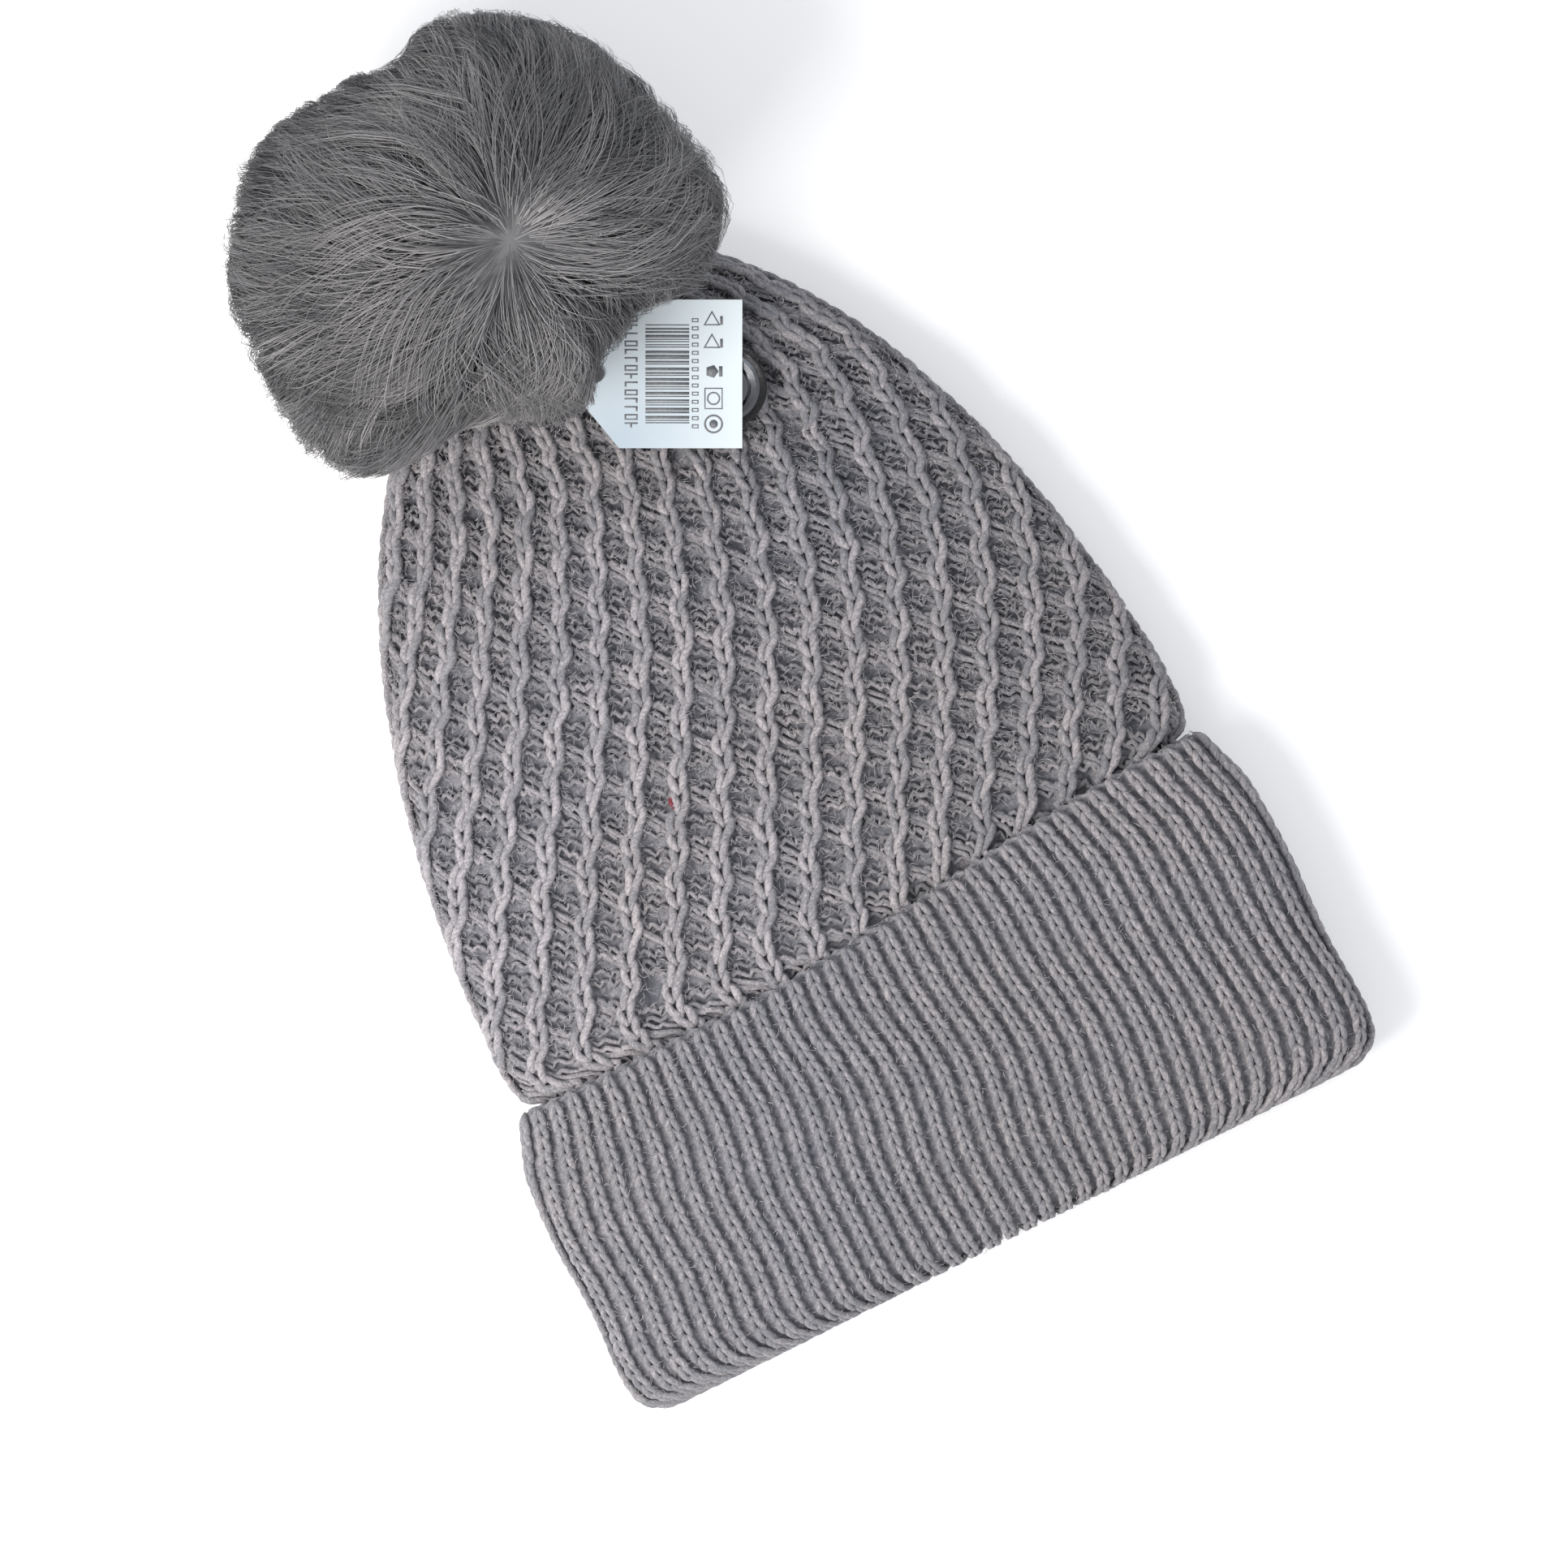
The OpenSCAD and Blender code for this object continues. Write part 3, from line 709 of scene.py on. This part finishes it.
def crown_bridges():
    """Thicker strands that slant across each pinch of the cells, down into the rib on the right."""
    steps = int(CROWN.length / RIB_WAVE) + 2
    k, q, pair = np.meshgrid(np.arange(steps) - 1, np.arange(RIBS), [-0.5, 0.5], indexing="ij")
    k, q, pair = k.ravel()[:, None], q.ravel()[:, None], pair.ravel()[:, None]
    wobble = RNG.normal(0, 1, (len(k), 3))
    uneven = q / RIBS + 0.09 * np.sin(9 * TAU * q / RIBS)
    start = RIB_WAVE * (k + 0.75 - uneven) + (pair * 1.9 + 0.35 * wobble[:, :1]) * MM
    t = np.linspace(0, 1, 9)[None, :]
    s, c = course(start, q, t, 0.9 * MM)
    s = s + (4.6 * (t - 0.5) + 0.5 * np.sin(TAU * t) + 0.3 * wobble[:, 1:2]) * MM
    kept = np.flatnonzero((s.min(axis=1) > 2 * MM) & (s.max(axis=1) < CROWN.length - 8 * MM))
    s, c, wobble = s[kept], c[kept], wobble[kept]
    out = (-0.35 - 1.0 * t + 0.3 * wobble[:, 2:3]) * MM * smooth01((CROWN.length - s) / (16 * MM))
    paths, ups = CROWN.point(s, c, out), CROWN.normal(s, c)
    clear = near_hole(paths).max(axis=1) < 0.35
    paths, ups, s = paths[clear], ups[clear], s[clear]
    radius = 0.68 * MM * (0.75 + 0.35 * np.sin(math.pi * t)) * np.ones_like(s)
    # Painted shade: the bridges darker towards the crown's right and tip, besides their random tone
    tones = np.clip(RNG.uniform(0.25, 0.7, len(s)) + crown_painted_shade(paths[:, 4]), 0, 1)
    points, faces, tone = tube_mesh(paths, ups, radius, 6, tones)
    new_mesh("crown_bridges", points, faces, YARN, "hat", tone, fibre_space(paths, 6))


def crown_place(x, y):
    """The place (s, c) on the crown's front that lies at x and y."""
    half = CROWN.ROUND_STEPS // 2
    away = (CROWN.table[:, :half, 0] - x) ** 2 + (CROWN.table[:, :half, 1] - BRIM - y) ** 2
    row, column = np.unravel_index(np.argmin(away), away.shape)
    return CROWN.s_table[row], column * 4 / CROWN.ROUND_STEPS


def red_fibre():
    """A stray knot of red fibre caught in the knit."""
    s, c = crown_place(*RED_FIBRE)
    middle, up = CROWN.point(s, c, 0.5 * MM), CROWN.normal(s, c)
    t = np.linspace(0, 1, 9)[None, :, None]
    count = 22
    turn = RNG.uniform(0, TAU, (count, 1, 1)) + t * RNG.uniform(1, 4, (count, 1, 1))
    reach = RNG.uniform(0.1, 1.25, (count, 1, 1)) * MM * (1.2 - 0.5 * t)
    height = RNG.uniform(0, 0.9, (count, 1, 1)) * MM + 0 * t
    paths = middle + np.concatenate([reach * np.cos(turn), 1.25 * reach * np.sin(turn), height], -1)
    radius = np.full(paths.shape[:2], 0.12 * MM)
    points, faces, _ = tube_mesh(paths, np.broadcast_to(up, paths.shape), radius, 5, np.zeros(count))
    red = plain_material("red_fibre", (0.2, 0.028, 0.045), (0.34, 0.08, 0.1), 0.8, 3000)
    new_mesh("red_fibre", points, as_triangles(faces), red, "hat")


def fuzz(tube, name, body, count, s_range, lift, length):
    """Short loose fibres that stand off the yarn."""
    s = RNG.uniform(*s_range, count)
    c = RNG.uniform(0, 2, count) + 2 * (RNG.uniform(0, 1, count) > 0.7)
    start = tube.point(s, c, RNG.uniform(-0.6, 1.0, count) * lift)
    normal = tube.normal(s, c)
    tangent = unit(np.cross(normal, RNG.normal(size=(count, 3))))
    size = RNG.uniform(0.5, 1.3, count)[:, None] * length
    t = np.linspace(0, 1, 4)[None, :, None]
    bend = unit(np.cross(normal, tangent)) * RNG.normal(0, 0.5, (count, 1))
    rise = RNG.uniform(0.15, 0.6, (count, 1))
    paths = (
        start[:, None]
        + (tangent * size)[:, None] * t
        + (normal * size * rise)[:, None] * (t * (1.3 - t) * 1.6)
        + (bend * size)[:, None] * t * t
    )
    paths[:, :, 2] = np.maximum(paths[:, :, 2], 0.1 * MM)
    radius = np.linspace(0.09, 0.045, 4)[None, :] * MM * np.ones((count, 1))
    points, faces, tone = tube_mesh(paths, normal[:, None], radius, 3, RNG.uniform(0.2, 1.0, count))
    new_mesh(name, points, as_triangles(faces), FIBRE, body, tone)


def crown_fuzz():
    span = (14 * MM, CROWN.length - 8 * MM)
    for part in range(3):
        fuzz(CROWN, f"crown_fuzz_{part + 1}", "hat", 9500, span, 0.9 * MM, 2.0 * MM)


# ---- the rib cuff and band

CUFF_RIBS = 80
BAND_RIBS = 72


def rib_ground(tube, lining, name, body, count, rows, inner_rows, lining_first=False):
    """A sheet with the ribs' grooves in it, closed by its inner face.

    The lining runs on from the outside's end, or with lining_first it runs back down before the outside.
    """
    columns = count * 8
    s = np.linspace(0, tube.length, rows)[:, None]
    c = np.linspace(0, 4, columns, endpoint=False)[None, :]
    wave = np.cos(c * count / 4 * TAU)
    outside = tube.point(s, shift_c(s, c), (-0.95 + 0.55 * wave) * MM)
    s_in = np.linspace(0, lining.length, inner_rows)[:, None]
    s_in = s_in[::-1] if lining_first else s_in[1:]
    inside = lining.point(s_in, shift_c(s_in, c), 0.35 * MM * wave)
    points = np.concatenate([inside, outside] if lining_first else [outside, inside])
    total = len(points)
    faces = grid_faces(total + 1, columns) % (total * columns)
    tone = np.full(total * columns, 0.35)
    new_mesh(name, points.reshape(-1, 3), faces[:, ::-1], SHADED_GROUND, body, tone)


def shift_c(s, c):
    """The ribs of the cuff and the band run along the hat with slow waves."""
    return c + 0.012 * np.sin(s * 70 + c * 2.1) + 0.006 * np.sin(s * 150 + c * 5)


def ribbed(tube, name, body, count, start, end, parts):
    """Columns of V stitches along a rib tube."""

    def place(s, column, aside):
        c = 4 * column / count
        return shift_c(s, c) - aside / tube.girth(s)

    stitch = {"height": 3.3 * MM, "half_gap": 1.05 * MM, "thick": 0.92 * MM, "lift": 0.35 * MM}
    # cuff_painted_light lightens the stitches towards the hat's right as painted light
    chain_stitches(tube, place, start, end, stitch, count,
                   name, body, (0.04, 0.42), cuff_painted_light, parts)


CUFF_OUT = cuff_tube()
CUFF_IN = cuff_back_tube()
BAND_OUT = band_tube()
BAND_IN = band_lining()


def cuff_pieces():
    rib_ground(CUFF_OUT, CUFF_IN, "cuff_ground", "cuff", CUFF_RIBS, 112, 40)
    ribbed(CUFF_OUT, "cuff_stitches", "cuff", CUFF_RIBS, 1.5 * MM, CUFF_OUT.length - 2 * MM, 4)


def band_pieces():
    rib_ground(BAND_OUT, BAND_IN, "band_ground", "hat", BAND_RIBS, 60, 40, lining_first=True)
    ribbed(BAND_OUT, "band_stitches", "hat", BAND_RIBS, 1 * MM, BAND_OUT.length - 1 * MM, 2)


# ---- the pompom

POM_MID = np.array([POM[0], POM[1], 60 * MM])
POM_UP, POM_DOWN = 45 * MM, 36 * MM
WHORL_SHIFT = np.array([10.2 * MM, -11.3 * MM])
# The outline from above: a mean reach and its lobes and dents, each (direction, half spread, extra reach)
POM_REACH = 56.2 * MM
POM_LOBES = [
    (-22, 22, 8.5), (-142, 16, 9), (-170, 24, 4.5), (84, 10, -6), (102, 24, -10.5), (60, 18, -2),
    (-61, 14, -10.5), (-118, 13, -6), (-100, 22, -5.5), (-50, 6, -3.5), (-73, 6, -3.5),
]
HAIRS = 44000
BIG_WISPS, SMALL_WISPS = 230, 2600


def pom_reach(turn):
    """How far the fur reaches from above, by direction."""
    reach = np.full(np.shape(turn), POM_REACH)
    for middle, spread, extra in POM_LOBES:
        away = np.mod(turn - math.radians(middle) + math.pi, TAU) - math.pi
        reach = reach + extra * MM * np.exp(-((away / math.radians(spread)) ** 2))
    return reach


def pom_surface(direction, share):
    """The fur's outer surface in a direction, scaled about the middle; the whorl sits off centre on top."""
    z = np.clip(direction[..., 2], -1, 1)
    turn = np.arctan2(direction[..., 1], direction[..., 0])
    flat = np.sqrt(np.maximum(0, 1 - z * z)) ** 0.9 * pom_reach(turn) * share
    up = np.where(z > 0, POM_UP, POM_DOWN) * z * share
    shift = np.maximum(z, 0)[..., None] * WHORL_SHIFT
    x = POM_MID[0] + flat * np.cos(turn) + shift[..., 0]
    y = POM_MID[1] + flat * np.sin(turn) + shift[..., 1]
    return np.stack([x, y, POM_MID[2] + up], -1)


def pompom_under():
    """The dense fur under the guard hairs."""
    rows, columns = 90, 240
    polar = np.linspace(0.02, math.pi - 0.02, rows)[:, None]
    turn = np.linspace(0, TAU, columns, endpoint=False)[None, :]
    direction = np.stack(
        [np.sin(polar) * np.cos(turn), np.sin(polar) * np.sin(turn), np.cos(polar) + 0 * turn], -1
    )
    rough = 0.012 * np.sin(turn * 60 + 2 * np.sin(polar * 9))
    rough = rough + 0.02 * np.sin(turn * 17 + 3 * np.sin(polar * 5))
    crest = smooth01((np.cos(polar) - 0.7) / 0.3)
    points = settle(pom_surface(direction, 0.76 + 0.13 * crest + rough * np.sin(polar)))
    faces = grid_faces(rows, columns)
    body = points.reshape(-1, 3)
    top, bottom = len(body), len(body) + 1
    body = np.concatenate([body, points[0].mean(axis=0)[None], points[-1].mean(axis=0)[None]])
    first = np.arange(columns)
    last = first + (rows - 1) * columns
    caps = np.concatenate(
        [
            np.stack([np.full(columns, top), np.roll(first, -1), first], -1),
            np.stack([np.full(columns, bottom), last, np.roll(last, -1)], -1),
        ]
    )
    tris = np.concatenate([as_triangles(faces), caps])
    new_mesh("fur_under", body, tris[:, ::-1], FUR, "pompom", np.full(len(body), 0.38))


def even_directions(count):
    """Evenly spread directions over a ball."""
    k = np.arange(count) + 0.5
    z = 1 - 2 * k / count
    turn = k * math.pi * (3 - math.sqrt(5))
    flat = np.sqrt(np.maximum(0, 1 - z * z))
    return np.stack([flat * np.cos(turn), flat * np.sin(turn), z], -1)


def combed(root, reach, curl, t):
    """Directions along hairs that start at root and are combed down away from the top."""
    flat = np.maximum(np.hypot(root[:, 0], root[:, 1]), 1e-6)[:, None]
    cos_turn, sin_turn = root[:, :1] / flat, root[:, 1:2] / flat
    down = np.concatenate([cos_turn * root[:, 2:], sin_turn * root[:, 2:], -flat], -1)
    side = np.concatenate([-sin_turn, cos_turn, np.zeros_like(flat)], -1)
    swing = reach[:, None, None] * t
    path = root[:, None] * np.cos(swing) + down[:, None] * np.sin(swing)
    return unit(path + side[:, None] * (curl[:, None, None] * t * t))


def pompom_fur():
    """Fine hairs combed away from the whorl, gathered into small wisps and those into larger locks."""
    steps = 6
    root = unit(even_directions(HAIRS) + RNG.normal(0, 0.012, (HAIRS, 3)))
    big, small = unit(RNG.normal(size=(BIG_WISPS, 3))), unit(RNG.normal(size=(SMALL_WISPS, 3)))
    of_big = np.argmax((root + RNG.normal(0, 0.03, root.shape)) @ big.T, axis=1)
    of_small = np.argmax(root @ small.T, axis=1)
    big_trait = RNG.normal(0, 1, (BIG_WISPS, 4))[of_big]
    small_trait = RNG.normal(0, 1, (SMALL_WISPS, 4))[of_small]
    t = np.linspace(0, 1, steps)[None, :, None]
    top = smooth01((root[:, 2] - 0.3) / 0.6)
    crest = smooth01((root[:, 2:] - 0.7) / 0.3)
    reach = 0.6 + 0.08 * small_trait[:, 0] + RNG.normal(0, 0.07, HAIRS)
    curl = (0.07 + 0.1 * top) * big_trait[:, 1] + (0.03 + 0.03 * top) * small_trait[:, 1]
    curl = curl.clip(-0.4, 0.4) + RNG.normal(0, 0.02, HAIRS) + 0.3 * crest[:, 0] * small_trait[:, 2]
    own = combed(root, reach, curl, t)
    lock = combed(small[of_small], reach, curl, t)
    gather = RNG.uniform(0.1, 0.65, (HAIRS, 1, 1)) * t**1.5
    direction = unit(own * (1 - gather) + lock * gather)
    unevenness = 0.024 * big_trait[:, 2:3] + 0.018 * small_trait[:, 2:3] + RNG.normal(0, 0.012, (HAIRS, 1))
    over_hat = np.exp(-((np.arctan2(root[:, 1:2], root[:, :1]) + 1.5) ** 2)) * (root[:, 2:] < 0.5)
    lift = 1 + unevenness.clip(-0.06, 0.06) * (0.3 + 0.7 * top[:, None] + 0.6 * over_hat)
    start = 0.76 + 0.17 * crest
    share = start + (lift - start) * np.sin(1.9 * t[..., 0])
    paths = settle(pom_surface(direction, share))
    width = RNG.uniform(0.08, 0.14, (HAIRS, 1)) * MM
    radius = width * (1.2 - 1.0 * t[..., 0] ** 2)
    # Painted light: hairs towards the top and the whorl lighter and those on either side darker, besides each
    # hair's random tone
    painted_light_tone = 0.44 + 0.14 * top[:, None] + 0.06 * crest + RNG.normal(0, 0.08, (HAIRS, 1))
    painted_light_tone = painted_light_tone - 0.22 * smooth01(2 * root[:, :1]) - 0.26 * smooth01(-1.4 * root[:, :1])
    base_tone = painted_light_tone + 0.16 * big_trait[:, 3:] + 0.12 * small_trait[:, 3:]
    # Painted shade: hairs darker at their roots and where they turn down under the ball
    rim = smooth01((0.4 - direction[..., 2]) / 0.6)
    shade = np.clip(base_tone + 0.3 * (t[..., 0] - 0.4) - 0.2 * rim, 0, 1)
    up = np.cross(unit(np.gradient(paths, axis=1)), RNG.normal(size=(HAIRS, 1, 3)))
    for part, chosen in enumerate(np.array_split(RNG.permutation(HAIRS), 8)):
        points, faces, tone = tube_mesh(paths[chosen], unit(up[chosen]), radius[chosen], 3, shade[chosen])
        new_mesh(f"fur_{part + 1}", points, as_triangles(faces), FUR, "pompom", tone)


def settle(paths):
    """Keeps the fur above the snap, the tag and the crown, so that it clears them however it is turned."""
    floor = FUR_LOW[2] + 0.3 * MM
    soft = 5 * MM
    gap = paths[..., 2] - floor
    paths[..., 2] = floor + np.where(gap > soft, gap, soft * np.exp(np.minimum(gap, soft) / soft - 1))
    return paths


# ---- small parts


def metal_material(name, colour, roughness):
    material, tree, shader = nodes_of(name, roughness, metallic=1.0)
    grain = noise(tree, 900, 2)
    shade = ramp(tree, grain, [(0.3, tuple(0.85 * v for v in colour)), (0.7, colour)])
    tree.links.new(shade, shader.inputs["Base Color"])
    rough = maths(tree, "ADD", maths(tree, "MULTIPLY", noise(tree, 350, 3), 0.2), roughness - 0.08)
    tree.links.new(rough, shader.inputs["Roughness"])
    return material


def plain_material(name, dark, light, roughness, scale=600):
    material, tree, shader = nodes_of(name, roughness)
    fine = noise(tree, scale, 3)
    tree.links.new(ramp(tree, fine, [(0.3, dark), (0.7, light)]), shader.inputs["Base Color"])
    bump(tree, shader, fine, 0.15 * MM, 0.4)
    return material


TAG_RIGHT, TAG_UP = np.array([LEAN_COS, -LEAN_SIN]), np.array([LEAN_SIN, LEAN_COS])


def card_material():
    """White card with painted shade: bluer and darker towards its lower corner under the fur's fibres."""
    material, tree, shader = nodes_of("card", 0.4)
    place = tree.nodes.new("ShaderNodeTexCoord")
    away = tree.nodes.new("ShaderNodeVectorMath")
    away.operation = "DISTANCE"
    tree.links.new(place.outputs["Object"], away.inputs[0])
    away.inputs[1].default_value = (*(HOLE[:2] + 6 * MM * TAG_RIGHT - 18 * MM * TAG_UP), HOLE[2])
    # Painted shade: the card darkens towards a point below the hole, under the fur
    share = maths(tree, "DIVIDE", away.outputs["Value"], 45 * MM)
    shadowed, mid, pale, top = (0.48, 0.57, 0.64), (0.6, 0.68, 0.73), (0.72, 0.8, 0.82), (0.8, 0.88, 0.9)
    colour = ramp(tree, share, [(0.0, shadowed), (0.35, mid), (0.68, pale), (1.0, top)])
    tree.links.new(colour, shader.inputs["Base Color"])
    bump(tree, shader, noise(tree, 400, 3), 0.1 * MM, 0.4)
    return material


def small_parts():
    gunmetal = metal_material("gunmetal", (0.17, 0.174, 0.185), 0.2)
    bright = metal_material("bright_wire", (0.7, 0.7, 0.72), 0.25)
    black = plain_material("black_enamel", (0.003, 0.003, 0.004), (0.007, 0.007, 0.008), 0.2)
    felt = plain_material("felt", (0.05, 0.05, 0.055), (0.1, 0.1, 0.11), 0.95, 1200)
    thread = plain_material("thread", (0.12, 0.12, 0.13), (0.25, 0.25, 0.27), 0.8, 2000)
    elastic = plain_material("elastic", (0.02, 0.02, 0.022), (0.05, 0.05, 0.055), 0.85, 1500)
    plastic = plain_material("fastener", (0.05, 0.053, 0.06), (0.12, 0.125, 0.135), 0.3)
    card = card_material()
    button = plain_material("button", (0.015, 0.015, 0.017), (0.03, 0.03, 0.033), 0.35)
    cord = plain_material("drawstring", (0.5, 0.5, 0.5), (0.7, 0.7, 0.7), 0.85, 1500)
    backing = plain_material("backing", (0.15, 0.15, 0.155), (0.26, 0.26, 0.265), 0.9, 900)
    wadding = plain_material("wadding", (0.65, 0.65, 0.63), (0.85, 0.85, 0.83), 0.95, 500)
    looks = [
        (gunmetal, "snap_stud snap_socket snap_cap"),
        (bright, "snap_spring"),
        (black, "snap_rim"),
        (felt, "crown_patch pompom_base"),
        (thread, "back_seam gather_thread stud_thread"),
        (elastic, "pompom_loop"),
        (plastic, "tag_fastener"),
        (card, "hang_tag"),
        (button, "pompom_button"),
        (cord, "pompom_drawstring"),
        (backing, "pompom_backing"),
        (wadding, "pompom_stuffing"),
    ]
    for material, names in looks:
        for name in names.split():
            obj = frame["nodes"][name]
            obj.data.materials.clear()
            obj.data.materials.append(material)


PRINT_THICK = 0.06 * MM
# The columns of print, in mm from the tag's hole towards its right edge
TEXT_AT, BARS_AT, DIGITS_AT, MARKS_AT = 8.9, 18.0, 25.0, 29.6


def print_band(outline, inner):
    """A thin printed shape: an outline in mm from the tag's hole, filled or as far as an inner outline."""
    outline = np.asarray(outline, float)
    count = len(outline)
    rings = [outline] if inner is None else [outline, np.asarray(inner, float)]
    flat = np.concatenate(rings) * MM
    place = HOLE[:2] + flat[:, :1] * TAG_RIGHT + flat[:, 1:] * TAG_UP
    low = np.full((len(flat), 1), TAG_HIGH[2] - 0.02 * MM)
    points = np.concatenate([np.hstack([place, low]), np.hstack([place, low + PRINT_THICK])])
    first = np.arange(count)
    following = np.roll(first, -1)
    step = len(flat)
    sides = np.stack([first, following, following + step, first + step], -1)
    if inner is None:
        fans = [[0, i, i + 1, i + 1] for i in range(1, count - 1)]
        tops = np.array(fans) + step
        return points, np.concatenate([sides, tops, np.array(fans)[:, ::-1]])
    inner_sides = np.stack([following, first, first + step, following + step], -1) + count
    tops = np.stack([first + step, following + step, following + step + count, first + step + count], -1)
    return points, np.concatenate([sides, inner_sides, tops, (tops - step)[:, ::-1]])


def rectangle(u, v, width, height):
    return [(u - width / 2, v - height / 2), (u + width / 2, v - height / 2), (u + width / 2, v + height / 2),
            (u - width / 2, v + height / 2)]


def ring(u, v, radius, sides, turn=0.0):
    angles = np.arange(sides) * TAU / sides + turn
    return np.stack([u + radius * np.cos(angles), v + radius * np.sin(angles)], -1)


def tag_print():
    """Plain stand-ins for the card's print: rows of dashes, a block of bars and a column of simple shapes."""
    shapes = []

    def stamp(outline, inner=None):
        shapes.append(print_band(outline, inner))

    for place, v in enumerate(np.arange(-12.9, 15, 2.05)):
        if place % 3 == 1:
            stamp(rectangle(TEXT_AT, v, 3.3, 1.5), rectangle(TEXT_AT, v, 2.5, 0.7))
        else:
            stamp(rectangle(TEXT_AT, v + 0.5, 3.3, 0.4))
            stamp(rectangle(TEXT_AT + RNG.choice([-1.4, 0, 1.4]), v - 0.15, 0.45, 0.9))
        stamp(rectangle(DIGITS_AT, v - 0.3, 1.7, 1.0), rectangle(DIGITS_AT, v - 0.3, 1.1, 0.5))
    v = -12.3
    while v < 12.4:
        thick = RNG.choice([0.28, 0.28, 0.5, 0.75])
        stamp(rectangle(BARS_AT, v, 11.0, thick))
        v += thick + RNG.choice([0.3, 0.3, 0.5])
    upper, lower = MARKS_AT - 0.4, MARKS_AT
    for v in (13.4, 7.7):
        stamp(ring(upper, v, 2.5, 3, math.pi / 2), ring(upper, v, 1.8, 3, math.pi / 2))
        stamp(rectangle(31.6, v, 0.7, 2.2))
    stamp(ring(upper, 0.6, 1.7, 5))
    stamp(rectangle(31.4, 0.6, 0.9, 2.6))
    stamp(rectangle(lower, -6.2, 4.6, 5.4), rectangle(lower, -6.2, 4.0, 4.8))
    stamp(ring(lower, -6.2, 1.7, 16), ring(lower, -6.2, 1.3, 16))
    stamp(ring(lower, -12.6, 2.4, 24), ring(lower, -12.6, 1.9, 24))
    stamp(ring(lower, -12.6, 1.1, 12))
    points, faces, start = [], [], 0
    for corner_points, corner_faces in shapes:
        points.append(corner_points)
        faces.append(corner_faces + start)
        start += len(corner_points)
    ink = plain_material("ink", (0.13, 0.14, 0.15), (0.22, 0.23, 0.24), 0.6, 1500)
    tris = as_triangles(np.concatenate(faces))
    new_mesh("tag_print", np.concatenate(points), tris, ink, "tag")


# ---- stage


def stage():
    material, tree, shader = nodes_of("table", 0.7)
    shade = ramp(tree, noise(tree, 3, 2), [(0.3, (0.86, 0.86, 0.86)), (0.7, (0.9, 0.9, 0.9))])
    tree.links.new(shade, shader.inputs["Base Color"])
    shader.inputs["Emission Color"].default_value = (1, 1, 1, 1)
    shader.inputs["Emission Strength"].default_value = 0.3
    bpy.ops.mesh.primitive_plane_add(size=8, location=(0, 0, 0))
    table = bpy.context.object
    table.name = "table"
    table.data.materials.append(material)


def area_light(name, place, target, size, power, colour):
    light = bpy.data.lights.new(name, "AREA")
    light.size = size
    light.energy = power
    light.color = colour
    obj = bpy.data.objects.new(name, light)
    obj.location = place
    obj.rotation_euler = (Vector(target) - Vector(place)).to_track_quat("-Z", "Y").to_euler()
    bpy.context.scene.collection.objects.link(obj)


def lights():
    world = bpy.data.worlds.new("studio")
    world.use_nodes = True
    background = world.node_tree.nodes["Background"]
    background.inputs["Color"].default_value = (0.93, 0.95, 1.0, 1)
    background.inputs["Strength"].default_value = 0.66
    bpy.context.scene.world = world
    area_light("key", (-0.48, -0.1, 0.58), (-0.03, 0, 0), size=0.45, power=6.4, colour=(1.0, 0.96, 0.935))
    area_light("fill", (0.9, 0.6, 1.2), (0, 0, 0), size=0.9, power=2, colour=(0.8, 0.9, 1.0))


def camera():
    """Straight down, with the hat leaning left as it was laid."""
    height, sensor = 2.5, 36
    # The picture is this wide where it cuts the hat, this far above the table
    width, level = 0.396, 0.012
    data = bpy.data.cameras.new("camera")
    data.sensor_width = sensor
    data.lens = sensor * (height - level) / width
    data.clip_end = 20
    obj = bpy.data.objects.new("camera", data)
    obj.location = (-1.2 * MM, BRIM + 122.8 * MM, height)
    obj.rotation_euler = (0, 0, -math.atan2(LEAN_SIN, LEAN_COS))
    bpy.context.scene.collection.objects.link(obj)
    bpy.context.scene.camera = obj


def stand_for(name, *nodes):
    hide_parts(*nodes)


camera()
lights()
stage()
small_parts()
crown_base()
crown_ribs()
crown_purls()
crown_bridges()
red_fibre()
crown_fuzz()
cuff_pieces()
fuzz(CUFF_OUT, "cuff_fuzz", "cuff", 8000, (0, CUFF_OUT.length), 0.7 * MM, 1.5 * MM)
band_pieces()
tag_print()
pompom_under()
pompom_fur()
stand_for("crown_ground", "crown_knit")
stand_for("cuff_ground", "cuff", "cuff_edge")
stand_for("band_ground", "rib_band")
stand_for("fur_under", "pompom_fur")

bpy.context.scene.view_settings.view_transform = "Standard"
